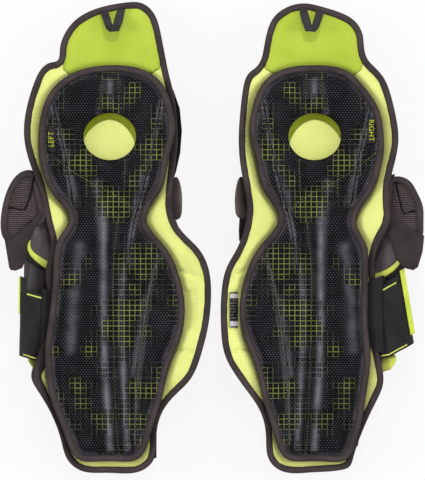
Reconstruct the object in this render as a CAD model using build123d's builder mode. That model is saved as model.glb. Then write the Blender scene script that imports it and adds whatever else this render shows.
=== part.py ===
from build123d import *
import math
import os

os.makedirs("parts", exist_ok=True)

# A pair of ice hockey shin guards lying on their shells, leg side up.
# Millimetres: X across the leg, Y from the ankle to the thigh, Z from shell to leg.
# One guard is drawn about its own centre line (lateral side at -X), then moved and mirrored.
HALF_SPACING = 113.0

# Leg trough at the outer face of the carrier: y, centre x, half width, lowest z.
TROUGH = [
    (-264, 2, 67, 5.0),
    (-215, 1, 73, 5.2),
    (-160, 5, 108, 7.0),
    (-85, 12, 126, 10.5),
    (-30, 13, 118, 13.0),
    (12, 6, 96, 15.0),
    (60, -2, 90.5, 14.8),
    (115, -7, 103.5, 14.2),
    (165, -5, 99.5, 15.5),
    (200, 0, 105, 17.0),
    (264, 4, 170, 21.0),
]
# Extra fullness of the knee cap below the trough at each of those stations.
CAP_FULLNESS = [0, 0, 0, 0, 0, 0, 3.0, 4.7, 2.4, 0, 0]

# Layers, as depths into the trough from the outer face of the carrier.
CARRIER_THICK = 8.0
LINER_OUT = 8.4
LINER_IN = 17.4
CHANNEL_DEPTH = 2.6
CHANNEL_WIDTH = 3.2
SHELL_GAP = 1.2
SHELL_THICK = 3.0
GUARD_GAP = 4.6
CAP_OUTSET = 8.7
BINDING_WIDTH = 6.5
BINDING_PROUD = 0.9
LINER_BINDING_WIDTH = 5.5
SEAM_GAP = 0.2
FACETS = 14
DEPTH_SHARE = 0.9

# Heights and lengths where the guard is divided.
RIM_TOP = 78.0
BELOW = -12.0
END = 270.0
WAIST_LOW = 14.0
WAIST_HIGH = 42.0
FLAP_LOW = 191.5
FLAP_HIGH = 203.5

# Plan outline of the carrier and its thigh flap, from the medial shoulder round the ankle.
GUARD_EDGE = [
    (65.5, 180), (70.5, 160), (74.5, 132), (75.4, 100), (72.5, 72), (69.7, 45), (70.7, 26),
    (80.5, 7), (98, -11), (108.5, -31), (111.8, -62), (109, -93), (101.5, -124), (89, -153),
    (69, -174), (57, -193), (52.4, -219), (49, -241), (37, -252), (0, -255), (-30, -252),
    (-43, -241), (-50.5, -219), (-61, -190), (-75, -165), (-82, -149), (-77, -131),
    (-68, -112), (-62.5, -76), (-59, -37), (-60, -8), (-66, 17), (-73, 50), (-84, 83),
    (-89.5, 110), (-87, 139), (-79, 167), (-70, 184), (-61.5, 189.5), (-54.5, 191.5),
    (-51.8, 203), (-47.5, 219), (-37.5, 233.5), (-22.7, 244), (-5, 250.6), (19.7, 255),
    (35.7, 254.5), (46, 248), (52.5, 238), (57.8, 219), (62.7, 194),
]

# Plan outline of the liner and the knee hole in it.
LINER_EDGE = [
    (2.7, 187), (-35, 179.5), (-60, 160), (-72, 130), (-74, 105), (-71, 76), (-58, 46), (-42, 20),
    (-53, -1), (-57, -30), (-61.5, -72), (-66, -112), (-67, -138), (-61, -175), (-47, -211),
    (-33, -239), (0, -242), (33, -239), (47.5, -209), (58, -175), (68, -135), (79, -107),
    (83.3, -84), (82.3, -62), (76.5, -38), (60, -7), (42, 20), (58, 52), (66, 84), (73, 115),
    (69, 143), (56, 170),
    (40, 181),
]
HOLE_CENTRE = (2.2, 109.6)
HOLE_RADII = (28.5, 25.5)

# Stitched channels of the liner.
CHANNELS = [
    [(13, 41), (8, -6), (4, -50), (6, -120), (10.5, -231)],
    [(56, -15), (44, -63), (34, -125), (29.5, -222)],
    [(-62, 92), (-22, 62), (13.5, 43), (31, 29)],
    [(-60, 145), (-48, 97), (-37, 40)],
    [(57, 147), (46, 84), (31, 29), (24, -10), (24, -30)],
    [(-4, 150), (-4, 20), (0, -128), (3, -228)],
]

# Shells.
CAP_EDGE = [
    (0, 189), (34, 185), (56, 175), (71, 160), (78, 140), (80.3, 116), (78.5, 92), (74, 72),
    (62, 36), (36, 12), (0, 7), (-36, 12), (-60, 36), (-72, 72), (-78, 92), (-80, 116),
    (-78, 138), (-72, 158), (-55, 175), (-34, 185),
]
FOAM_EDGE = [
    (0, 182), (44, 172), (66, 150), (72, 112), (64, 70), (44, 44), (0, 36),
    (-44, 44), (-64, 70), (-72, 112), (-66, 150), (-44, 172),
]
CAP_PAD_SIZE = (40, 46)
CAP_PAD_CENTRE = (-2, 108)
CAP_PAD_RISE = 8.0
SHELL_EDGE = [
    (0, 27), (40, 22), (62, 2), (74, -40), (72, -90), (62, -140), (53, -185), (52.6, -238),
    (30, -246), (-25, -246), (-45, -225), (-52, -180), (-55, -120), (-52, -60), (-50, 0), (-36, 22),
]
RIDGE = [(-246, 12, 2.0), (-215, 13, 0.0), (-160, 15, 1.2), (-85, 17, 4.0), (-30, 18, 7.5), (28, 18, 15.0)]
RIDGE_TOP = 30.0
RIDGE_FLANK = 9.0
RIDGE_SLOPE = 7.0
CALF_GUARD_EDGE = [
    (-40, 13), (-68, 15), (-81.5, -8), (-89.5, -26), (-90, -50), (-90.5, -75), (-89, -100),
    (-82, -132), (-64, -146), (-44, -134),
]
PANEL_EDGE = [(-57, 18), (-70, 20), (-77.5, -4), (-80, -13), (-64, -24), (-56.5, -28)]
STRIPE_EDGE = [
    (-77.9, -4.2), (-80.4, -13.3), (-64.2, -24.3), (-57, -28.2), (-57.5, -37), (-65, -35),
    (-85.5, -17.5), (-84, -6),
]

# Rivets through the shin shell and the calf guard: y, and share of the way along their facet.
RIVETS = [(-15, 0.58), (-70, 0.74), (-120, 0.72)]
RIVET_FACET = 4
RIVET_LIFT = 0.4
RIVET_HOLE = 2.4
RIVET_SHANK = 2.15
RIVET_HEAD = 4.6
RIVET_HEAD_THICK = 1.4

# Medial tab and the elastic link under it.
TAB_EDGE = [(66.5, 60), (74, 66), (79.5, 54), (80.5, 34), (77, 20.5), (67, 20.5)]
LINK_EDGE = [(73, 19.2), (83, 19.2), (84.5, 6), (84, -4), (76, 4)]

# Knee wing, on a hinge line beside the carrier.
WING_HINGE = (-72.6, 36.0, 59.5)
WING_AXIS = (-0.2334, 0.9724, 0.0)
WING_OUT = (-0.9724, -0.2334, 0.0)
WING_LONG = 62.0
WING_UNDER = [(-3, -5), (23, -4), (49, 10.5)]
WING_OVER = [(-3, 0), (25, 6.5), (49, 15.5)]
WING_EDGE = [
    (-83, 72.2), (-93.5, 70), (-102, 62), (-109, 47.5), (-114, 24), (-114, 8), (-108, -4),
    (-98, -5), (-84, 7), (-71.5, 20), (-69.9, 29), (-74.6, 50),
]
WING_BINDING = 5.2
WING_STRAP_EDGE = [
    (-71.5, 28.5), (-104, -2), (-109.6, -1), (-105.5, -33), (-101, -35.5), (-90.7, -32),
    (-93, -18), (-90, -6.5), (-80.5, 7.5), (-70.5, 25),
]

# Calf strap, wrapped over the calf guard from a root line beside the carrier.
STRAP_HINGE = (-72.0, -95.0, 43.5)
STRAP_AXIS = (0.168, 0.9858, 0.0)
STRAP_OUT = (-0.9858, 0.168, 0.0)
STRAP_HALF = 38.0
STRAP_THICK = 2.0
WING_STRAP_LIFT = 1.2
STRAP_PATH = [(2.5, 6.0), (10, 12.0), (18, 22.0), (21.5, 26.5), (26.5, 24.5), (27.5, 12.0)]
STRAP_BEND = 1.6
PIPING_FROM_EDGE = 5.0
PIPING_WIDTH = 2.4
PIPING_PATH = [(1.6, 7.4), (8.9, 13.1), (16.8, 23.0)]
PIPING_THICK = 0.9
TAB_PATH = [(29.6, 28.5), (30.0, 12.0)]
TAB_THICK = 1.4
TAB_SPAN = (-10.0, 46.0)

# Pull loop at the top of the flap.
LOOP_LEGS = [
    [(-8.7, 246), (0, 246), (9, 226), (3, 221), (-1.5, 224)],
    [(10.9, 247.5), (18.9, 247.5), (12.6, 221), (4, 221), (5.4, 228)],
]
LOOP_REST = 0.5
LOOP_THICK = 1.8

# Small sewn label of the right guard.
CALF_LABEL = (89.4, -77.5, 9.0, 38)
LABEL_THICK = 0.8


def section(half):
    """Lower half of an ellipse as straight facets, closed across its top."""
    points = []
    for step in range(FACETS + 1):
        turn = math.pi * (step / FACETS - 0.5)
        points.append((half * math.sin(turn), -half * DEPTH_SHARE * math.cos(turn)))
    return points


def faceted(rings):
    """Solid with flat faces through rings of points whose matching edges are parallel."""
    faces = [Face(Wire.make_polygon(rings[0])), Face(Wire.make_polygon(rings[-1]))]
    for near, far in zip(rings, rings[1:]):
        for number, point in enumerate(near):
            corners = [near[number - 1], point, far[number], far[number - 1]]
            faces.append(Face(Wire.make_polygon(corners)))
    return Solid(Shell(faces))


def trough(inset, fullness=0):
    """Solid bar filling the leg trough, shrunk by inset and made fuller at the knee."""
    rings = []
    for (y, x, half, low), extra in zip(TROUGH, CAP_FULLNESS):
        more = (extra * fullness - inset) / DEPTH_SHARE
        height = low + half * DEPTH_SHARE
        rings.append([Vector(x + across, y, height + up) for across, up in section(half + more)])
    return faceted(rings)


def ridge():
    """Flat-crested bar down the middle of the shin shell."""
    rings = []
    for y, half, low in RIDGE:
        foot = low + RIDGE_SLOPE
        wide = half + RIDGE_FLANK
        crest = [(-half, low), (half, low), (wide, foot)]
        sides = [(wide, RIDGE_TOP), (-wide, RIDGE_TOP), (-wide, foot)]
        rings.append([Vector(x, y, z) for x, z in crest + sides])
    return faceted(rings)


def outline(points):
    """Closed plan face through the points."""
    with BuildSketch() as face:
        with BuildLine():
            Polyline(points, close=True)
        make_face()
    return face.sketch


def moved_in(points, amount):
    """Points of a closed outline moved in by the same amount from both its edges."""
    corners = [Vector(*point) for point in points]
    area = sum(a.X * b.Y - b.X * a.Y for a, b in zip(corners, corners[1:] + corners[:1]))
    side = math.copysign(90, area)
    moved = []
    for before, here, after in zip(corners[-1:] + corners, corners, corners[1:] + corners[:1]):
        first = (here - before).normalized().rotate(Axis.Z, side)
        second = (after - here).normalized().rotate(Axis.Z, side)
        middle = (first + second).normalized()
        shift = here + middle * (amount / middle.dot(first))
        moved.append((shift.X, shift.Y))
    return moved


def shrunk_outline(points, amount):
    """Plan face with its edge moved in from the points."""
    return outline(moved_in(points, amount))


def between(face, low, high):
    """The part of a plan face between two lengths along the guard."""
    with BuildSketch() as part_face:
        add(face)
        with Locations((0, (low + high) / 2)):
            Rectangle(2 * END, high - low, mode=Mode.INTERSECT)
    return part_face.sketch


def layer(face, outer, inner, fullness=0):
    """Sheet of the trough between two depths, cut to a plan face."""
    skin = trough(outer, fullness)
    core = trough(inner, fullness)
    with BuildPart() as sheet:
        add(skin)
        add(core, mode=Mode.SUBTRACT)
        with BuildSketch(Plane.XY.offset(BELOW)):
            add(face)
        extrude(amount=RIM_TOP - BELOW, mode=Mode.INTERSECT)
    return sheet.part


def edge_band(sheet, points, width):
    """What is left of a sheet between its outline and the same outline moved in."""
    inner = shrunk_outline(points, width)
    with BuildPart() as band:
        add(sheet)
        with BuildSketch(Plane.XY.offset(BELOW)):
            add(inner)
        extrude(amount=RIM_TOP - BELOW, mode=Mode.SUBTRACT)
    return band.part


def save(piece, name):
    """Write the piece of the left guard and its mirror image of the right guard."""
    left = Pos(-HALF_SPACING, 0, 0) * piece
    left.label = "left_" + name
    export_step(left, "parts/left_" + name + ".step")
    right = mirror(left, about=Plane.YZ)
    right.label = "right_" + name
    export_step(right, "parts/right_" + name + ".step")


def facet_plane(y, share, outset):
    """Plane on the rivet facet of the trough, its normal pointing away from the leg."""
    for before, after in zip(TROUGH, TROUGH[1:]):
        if before[0] <= y < after[0]:
            along = (y - before[0]) / (after[0] - before[0])
            _, x, half, low = [a + (b - a) * along for a, b in zip(before, after)]
    points = section(half + outset / DEPTH_SHARE)
    (x_a, z_a), (x_b, z_b) = points[RIVET_FACET], points[RIVET_FACET + 1]
    height = low + half * DEPTH_SHARE + z_a + (z_b - z_a) * share
    origin = (x + x_a + (x_b - x_a) * share, y, height)
    return Plane(origin=origin, x_dir=(0, 1, 0), z_dir=(z_b - z_a, 0, x_a - x_b))


def rivet_holes():
    """Cylinders through the shells at every rivet."""
    with BuildPart() as holes:
        for y, share in RIVETS:
            with BuildSketch(facet_plane(y, share, 0)):
                Circle(RIVET_HOLE)
            extrude(amount=4 * SHELL_THICK, both=True)
    return holes.part


def shin_shell(holes):
    """Moulded shell with a flat-crested ridge down the middle."""
    skin = trough(-SHELL_GAP - SHELL_THICK)
    core = trough(-SHELL_GAP)
    face = outline(SHELL_EDGE)
    with BuildPart() as shell:
        add(ridge())
        add(skin)
        add(core, mode=Mode.SUBTRACT)
        with BuildSketch(Plane.XY.offset(BELOW)):
            add(face)
        extrude(amount=RIM_TOP - BELOW, mode=Mode.INTERSECT)
        add(holes, mode=Mode.SUBTRACT)
    return shell.part


def knee_cap():
    """Full cup over the knee with a flat raised pad at its front."""
    skin = trough(-CAP_OUTSET, 1)
    core = trough(SHELL_THICK - CAP_OUTSET, 1)
    face = outline(CAP_EDGE)
    with BuildPart() as cap:
        with BuildSketch(Plane.XY) as pad:
            with Locations(CAP_PAD_CENTRE):
                RectangleRounded(*CAP_PAD_SIZE, radius=9)
        extrude(amount=CAP_PAD_RISE)
        add(skin)
        add(core, mode=Mode.SUBTRACT)
        with BuildSketch(Plane.XY.offset(BELOW)):
            add(face)
        extrude(amount=RIM_TOP - BELOW, mode=Mode.INTERSECT)
    return cap.part


def liner():
    """Quilted liner with the knee hole and its stitched channels."""
    face = shrunk_outline(LINER_EDGE, LINER_BINDING_WIDTH + SEAM_GAP)
    pad = layer(face, LINER_OUT, LINER_IN)
    groove_skin = trough(LINER_IN - CHANNEL_DEPTH)
    with BuildPart() as grooves:
        for points in CHANNELS:
            with BuildSketch(Plane.XY.offset(BELOW)):
                with BuildLine():
                    Polyline(points)
                trace(line_width=CHANNEL_WIDTH)
            extrude(amount=RIM_TOP - BELOW)
        add(groove_skin, mode=Mode.INTERSECT)
    with BuildPart() as body:
        add(pad)
        add(grooves.part, mode=Mode.SUBTRACT)
        with BuildSketch(Plane.XY.offset(BELOW)):
            with Locations(HOLE_CENTRE):
                Ellipse(*HOLE_RADII)
        extrude(amount=RIM_TOP - BELOW, mode=Mode.SUBTRACT)
    return body.part


def rivets():
    """Rivets through the two shells, their heads outside the calf guard."""
    with BuildPart() as fasteners:
        for y, share in RIVETS:
            with BuildSketch(facet_plane(y, share, SHELL_GAP)):
                Circle(RIVET_SHANK)
            extrude(amount=GUARD_GAP + SHELL_THICK + SEAM_GAP)
            with BuildSketch(facet_plane(y, share, GUARD_GAP + SHELL_THICK + RIVET_LIFT)):
                Circle(RIVET_HEAD)
            extrude(amount=RIVET_HEAD_THICK)
    return fasteners.part


def wing_bar(under, fall, over, rise):
    """Bar between two arcs across the knee wing, drawn out along its hinge line."""
    bottom = [(out, height - fall) for out, height in under]
    top = [(out, height + rise) for out, height in over]
    with BuildPart() as bar:
        with BuildSketch(Plane(origin=WING_HINGE, x_dir=WING_OUT, z_dir=WING_AXIS)):
            with BuildLine():
                ThreePointArc(*bottom)
                Line(bottom[-1], top[-1])
                ThreePointArc(*top)
                Line(top[0], bottom[0])
            make_face()
        extrude(amount=WING_LONG * 1.4, both=True)
    return bar.part


def cut_to(bar, face):
    """Part of a bar over a plan face."""
    with BuildPart() as piece:
        add(bar)
        with BuildSketch(Plane.XY.offset(BELOW)):
            add(face)
        extrude(amount=2 * RIM_TOP, mode=Mode.INTERSECT)
    return piece.part


def strap_section(points, thick, bend, low, high):
    """Band of constant thickness bent along points, between two lengths on its root line."""
    root = Plane(origin=STRAP_HINGE, x_dir=STRAP_OUT, z_dir=STRAP_AXIS)
    with BuildPart() as band:
        with BuildSketch(root.offset(low)):
            with BuildLine():
                if bend:
                    FilletPolyline(points, radius=bend)
                else:
                    Polyline(points)
            trace(line_width=thick)
        extrude(amount=high - low)
    return band.part


def pull_loop():
    """Flat webbing loop hanging from the top edge of the flap."""
    low = trough(CARRIER_THICK + LOOP_REST)
    high = trough(CARRIER_THICK + LOOP_REST + LOOP_THICK)
    with BuildSketch() as face:
        for leg in LOOP_LEGS:
            with BuildLine():
                Polyline(leg, close=True)
            make_face()
    with BuildPart() as loop:
        add(low)
        add(high, mode=Mode.SUBTRACT)
        with BuildSketch(Plane.XY.offset(BELOW)):
            add(face.sketch)
        extrude(amount=RIM_TOP - BELOW, mode=Mode.INTERSECT)
    return loop.part


def label_face(x, y, wide, long):
    """Rounded rectangle for a sewn label."""
    with BuildSketch() as face:
        with Locations((x, y)):
            RectangleRounded(wide, long, radius=1)
    return face.sketch


inside = shrunk_outline(GUARD_EDGE, BINDING_WIDTH + SEAM_GAP)
holes = rivet_holes()
half_gap = SEAM_GAP / 2

# Carrier pads, flexing waist and thigh flap.
spans = {
    "shin_carrier": (-END, WAIST_LOW),
    "waist_panel": (WAIST_LOW, WAIST_HIGH),
    "knee_carrier": (WAIST_HIGH, FLAP_LOW),
    "flap_root": (FLAP_LOW, FLAP_HIGH),
    "top_flap": (FLAP_HIGH, END),
}
for name, (low, high) in spans.items():
    face = between(inside, low + half_gap, high - half_gap)
    save(layer(face, 0, CARRIER_THICK), name)

# Bindings round the carrier edge.
whole = outline(GUARD_EDGE)
bindings = {
    "shin_binding": (-END, WAIST_LOW),
    "waist_binding": (WAIST_LOW, WAIST_HIGH),
    "knee_binding": (WAIST_HIGH, FLAP_LOW),
    "flap_root_binding": (FLAP_LOW, FLAP_HIGH),
    "flap_binding": (FLAP_HIGH, END),
}
for name, (low, high) in bindings.items():
    face = between(whole, low + half_gap, high - half_gap)
    sheet = layer(face, -BINDING_PROUD, CARRIER_THICK + SEAM_GAP)
    save(edge_band(sheet, GUARD_EDGE, BINDING_WIDTH), name)

# Liner and its own binding.
save(liner(), "liner")
liner_tape = layer(outline(LINER_EDGE), LINER_OUT, LINER_IN + BINDING_PROUD)
save(edge_band(liner_tape, LINER_EDGE, LINER_BINDING_WIDTH), "liner_binding")

# Hard shells and the foam under the knee cap.
save(shin_shell(holes), "shin_shell")
save(knee_cap(), "knee_cap")
foam = outline(FOAM_EDGE)
with BuildPart() as knee_foam:
    add(trough(SHELL_THICK + SEAM_GAP - CAP_OUTSET, 1))
    add(trough(-BINDING_PROUD - SEAM_GAP), mode=Mode.SUBTRACT)
    with BuildSketch(Plane.XY.offset(BELOW)):
        add(foam)
    extrude(amount=RIM_TOP - BELOW, mode=Mode.INTERSECT)
save(knee_foam.part, "knee_foam")
guard = layer(outline(CALF_GUARD_EDGE), -GUARD_GAP - SHELL_THICK, -GUARD_GAP)
with BuildPart() as calf_guard:
    add(guard)
    add(holes, mode=Mode.SUBTRACT)
save(calf_guard.part, "calf_guard")
save(layer(outline(PANEL_EDGE), SHELL_GAP - GUARD_GAP, -SHELL_GAP), "calf_panel")
save(layer(outline(STRIPE_EDGE), SHELL_GAP - GUARD_GAP, -SHELL_GAP), "calf_stripe")
save(rivets(), "rivets")

# Medial tab and elastic link between the shells.
save(layer(outline(TAB_EDGE), -BINDING_PROUD - 2.5, -BINDING_PROUD), "medial_tab")
save(layer(outline(LINK_EDGE), -BINDING_PROUD - 2.0, -BINDING_PROUD - 0.5), "medial_link")

# Knee wing.
wing = wing_bar(WING_UNDER, 0, WING_OVER, 0)
save(cut_to(wing, shrunk_outline(WING_EDGE, WING_BINDING + SEAM_GAP)), "wing_pad")
tape_bar = wing_bar(WING_UNDER, BINDING_PROUD, WING_OVER, BINDING_PROUD)
wing_tape = cut_to(tape_bar, outline(WING_EDGE))
save(edge_band(wing_tape, WING_EDGE, WING_BINDING), "wing_binding")
strap_bar = wing_bar(WING_OVER, -WING_STRAP_LIFT, WING_OVER, WING_STRAP_LIFT + STRAP_THICK)
save(cut_to(strap_bar, outline(WING_STRAP_EDGE)), "wing_strap")

# Calf strap with its pipings and hook tab.
strap = strap_section(STRAP_PATH, STRAP_THICK, STRAP_BEND, -STRAP_HALF, STRAP_HALF)
save(strap, "calf_strap")
for name, start in {
    "strap_piping_upper": STRAP_HALF - PIPING_FROM_EDGE - PIPING_WIDTH,
    "strap_piping_lower": PIPING_FROM_EDGE - STRAP_HALF,
}.items():
    line = strap_section(PIPING_PATH, PIPING_THICK, STRAP_BEND, start, start + PIPING_WIDTH)
    save(line, name)
save(strap_section(TAB_PATH, TAB_THICK, 0, *TAB_SPAN), "hook_tab")

# Pull loop and the sewn label.
save(pull_loop(), "pull_loop")
calf_label = layer(label_face(*CALF_LABEL), CARRIER_THICK + SEAM_GAP,
                   CARRIER_THICK + SEAM_GAP + LABEL_THICK)
label = mirror(Pos(-HALF_SPACING, 0, 0) * calf_label, about=Plane.YZ)
label.label = "right_calf_label"
export_step(label, "parts/right_calf_label.step")
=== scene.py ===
import math

import bmesh
import bpy
import numpy as np
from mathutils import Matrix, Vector, noise
from mathutils.geometry import delaunay_2d_cdt


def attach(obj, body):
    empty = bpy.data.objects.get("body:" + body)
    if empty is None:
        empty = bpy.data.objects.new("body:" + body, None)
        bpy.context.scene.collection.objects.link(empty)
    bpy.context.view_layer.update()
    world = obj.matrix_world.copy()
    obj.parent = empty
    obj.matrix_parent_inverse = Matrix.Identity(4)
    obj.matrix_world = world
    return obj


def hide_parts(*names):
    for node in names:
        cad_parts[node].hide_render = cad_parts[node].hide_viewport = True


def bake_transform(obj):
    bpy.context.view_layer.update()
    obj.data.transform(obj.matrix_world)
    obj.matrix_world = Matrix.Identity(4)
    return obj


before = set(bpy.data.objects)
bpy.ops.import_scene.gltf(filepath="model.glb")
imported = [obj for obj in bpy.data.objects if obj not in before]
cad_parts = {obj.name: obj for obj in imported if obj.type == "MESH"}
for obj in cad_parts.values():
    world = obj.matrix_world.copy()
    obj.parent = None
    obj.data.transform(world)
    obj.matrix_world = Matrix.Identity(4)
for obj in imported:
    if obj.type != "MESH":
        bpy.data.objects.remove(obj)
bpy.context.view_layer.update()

MM = 0.001
SIDES = ("left", "right")
# From the middle between the two guards to the left guard's own middle.
HALF_SPACING = 113.0

# Sizes are in mm on the left guard: x across it, y along it from ankle to thigh, z up from the floor.
# The right guard is its mirror image, apart from what is given per side.
# An inset is the distance from the leg trough's surface towards the leg.

# ---------------------------------------------------------------- leg trough, as in the CAD
# Stations: y, the middle's x, half the width and the lowest z.
TROUGH = [
    (-264, 2, 67, 5.0),
    (-215, 1, 73, 5.2),
    (-160, 5, 108, 7.0),
    (-85, 12, 126, 10.5),
    (-30, 13, 118, 13.0),
    (12, 6, 96, 15.0),
    (60, -2, 90.5, 14.8),
    (115, -7, 103.5, 14.2),
    (165, -5, 99.5, 15.5),
    (200, 0, 105, 17.0),
    (264, 4, 170, 21.0),
]
# The trough's depth, as a share of half its width.
DEPTH_SHARE = 0.9
# Above this z the rim rises by only a share of what the trough's section would give.
RIM_TOP = 77.5
RIM_SHARE = 0.3
# How far out the section is followed, as a share of the half width.
STEEPEST = 0.985

# ---------------------------------------------------------------- guard, liner and tape outlines
GUARD_EDGE = [
    (65.5, 180), (70.5, 160), (74.5, 132), (75.4, 100), (72.5, 72), (69.7, 45), (70.7, 26),
    (80.5, 7), (98, -11), (108.5, -31), (111.8, -62), (109, -93), (101.5, -124), (89, -153),
    (69, -174), (57, -193), (52.4, -219), (49, -241), (37, -252), (0, -255), (-30, -252),
    (-43, -241), (-50.5, -219), (-61, -190), (-75, -165), (-82, -149), (-77, -131),
    (-71, -110), (-65, -89), (-63.5, -72), (-66.5, -50), (-66.5, -34), (-61.5, -10), (-66, 17),
    (-73, 50), (-84, 83), (-89.5, 110), (-87, 139), (-79, 167), (-70, 184), (-61.5, 189.5), (-54.5, 191.5),
    (-51.8, 203), (-47.5, 219), (-37.5, 233.5), (-22.7, 244), (-5, 250.6), (19.7, 255),
    (35.7, 254.5), (46, 248), (52.5, 238), (57.8, 219), (62.7, 194),
]
RIGHT_GUARD_EDGE = [
    (72.5, 178.7), (80.3, 158), (83.4, 130), (84.6, 105), (82.9, 80), (77.1, 46.5), (75.5, 30), (77.6, 14),
    (87.2, -13), (97.3, -31.5), (103, -58), (103.6, -96), (98.8, -127.5), (89.6, -145), (76, -164.5),
    (61.7, -186.3), (55, -213), (51, -241), (40, -251.5), (5, -254.5), (-25, -252), (-36, -247.5),
    (-39.8, -238.1), (-50.2, -207.5), (-63, -178.9), (-71.5, -157), (-68.8, -131), (-64, -95), (-63.3, -50),
    (-62.6, -32), (-64.2, -17), (-74.6, 6.5), (-78.3, 20), (-77.6, 38), (-78.2, 58), (-84.3, 85),
    (-87.5, 110), (-85, 130), (-79.6, 153.5), (-72, 172.8), (-61, 186), (-55.8, 191.8), (-51, 208),
    (-50.2, 217), (-42.8, 233), (-24.5, 244.5), (-6.3, 250.3), (12, 254), (33, 249.4), (48, 236.5),
    (54, 221.5), (57.8, 202.5), (60, 193.5), (66, 184),
]
GUARD_EDGES = {"left": GUARD_EDGE, "right": RIGHT_GUARD_EDGE}
LINER_EDGE = [
    (2.7, 187), (-35, 179.5), (-60, 160), (-72, 130), (-74, 105), (-71, 76), (-58, 46), (-42, 20),
    (-53, -1), (-58, -24), (-59, -46), (-61.5, -72), (-64, -92), (-67, -114), (-67, -138),
    (-61, -175), (-47, -211), (-33, -239), (0, -242), (33, -239), (47.5, -209), (58, -175),
    (68, -135), (79, -107), (83.3, -84), (82.3, -62), (76.5, -38), (60, -7), (42, 20), (58, 52),
    (66, 84), (73, 115), (69, 143), (56, 170), (40, 181),
]
RIGHT_LINER_SIDE = [
    (-53.7, 159.8), (-63.7, 145), (-69.6, 128), (-71.9, 108), (-71.9, 94), (-69.4, 80.5), (-64, 60.6),
    (-53.4, 40.8), (-45.1, 27.2), (-43, 16), (-48, 3), (-54, -10), (-55.2, -30), (-55, -60), (-55.5, -99.5),
    (-58, -128), (-55, -156), (-50, -190), (-42, -222),
]
ANKLE_CORNER = LINER_EDGE.index((-33, -239))
LINER_EDGES = {
    "left": LINER_EDGE,
    "right": LINER_EDGE[:2] + RIGHT_LINER_SIDE + LINER_EDGE[ANKLE_CORNER:],
}
# A y that is past both ends of the guard.
BEYOND = 270
BINDING_WIDTH = 6.5
LINER_BINDING_WIDTH = 6.8
# The flap is sewn to the carrier along this y, and their tapes lap over it.
FLAP_LOW = 191.5
# The flap's lower edge, under the liner.
FLAP_FOOT = [(56, 183), (40, 173), (0, 170), (-36, 173), (-48, 182)]
TAPE_LAP = {"left": 1.5, "right": 3.5}
# Where the carrier's tape is wider: place, reach and how much.
WIDER_TAPE = {"left": [((-79, -140), 24, 5.0), ((-66, -40), 22, 1.6)], "right": [((-66, 4), 16, 2.5)]}
# The section of a tape folded round an edge: share of the width, which face, and the lift off it.
TAPE_SECTION = [
    (1.0, 1, 0.15), (0.97, 1, 0.75), (0.8, 1, 1.0), (0.5, 1, 1.15), (0.22, 1, 0.9), (0.07, 1, 0.1),
    (0.0, 0, 0.33), (0.0, 0, 0.66), (0.07, -1, 0.1), (0.22, -1, 0.8), (0.5, -1, 0.95), (1.0, -1, 0.7),
]
# The insets of a taped sheet's two faces.
CARRIER_TAPE_INSETS = (-0.2, 8.0)
LINER_TAPE_INSETS = (8.8, 16.4)

# ---------------------------------------------------------------- carrier and flap
PAD_MARGIN = 4.5
PAD_GRID = 3.2
PAD_BACK = 0.1
PAD_FACE = 7.4
# How high a sheet swells, and over what reach from its edge.
PAD_SWELL = (2.6, 11)
LABEL_SWELL = (3.0, 4)
LINER_SWELL = (4.4, 10)
WING_SWELL = (2.2, 8)
FLAT_SWELL = (0.5, 3)
STRIPE_SWELL = (1.1, 1.8)
PAD_BESIDE_LINER = 3.5
FLAP_RISE = 0.9
CARRIER_SEAMS = [
    [(78, -35), (92, -40), (112, -48)],
    [(68, -118), (84, -122), (102, -129)],
]
CREASES = [
    [(41.5, 16), (44.5, 2), (45, -13)],
    [(47, 11), (50, -3)],
    [(-45, 16), (-46, 4)],
]
# The depth and the reach of each kind of sewn or creased groove.
CARRIER_SEAM_DIP = (2.6, 3.4)
CREASE_DIP = (1.3, 2.6)
LINER_SEAM_DIP = (1.7, 2.4)
WING_SEAM_DIP = (1.6, 1.6)
# The bed of the sewn label: its middle, width and length.
CALF_LABEL = (89.4, -77.5, 9.0, 38)
# Under the label, and for this margin round it, the pad is held down to one inset.
LABEL_BED = 7.6
LABEL_MARGIN = 0.5
# The outer end of the painted shade in the carrier's upper seam.
CALF_PILLOW_FAR = {"left": (106, -45.8), "right": (97, -42.0)}

# ---------------------------------------------------------------- liner
LINER_BACK = 8.5
LINER_FACE = 13.4
LINER_GRID = 2.2
# Beside a seam the liner swells by the first share, and by the second too past this reach.
SEAM_SHARES = (0.4, 0.6, 9)
HOLE_CENTRE = (2.2, 109.6)
HOLE_RADII = (28.5, 25.5)
# The liner comes to this inset at the knee hole's edge, over this reach.
HOLE_RIM = 15.6
HOLE_RIM_REACH = 8
# The hole's cloth wall: the insets of its top and foot, how far it lies outside the hole, its rings
# and its thickness.
HOLE_WALL_INSETS = (14.8, 8.6)
HOLE_WALL_OUT = 0.6
HOLE_WALL_RINGS = 7
HOLE_WALL_THICK = 0.6
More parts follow.
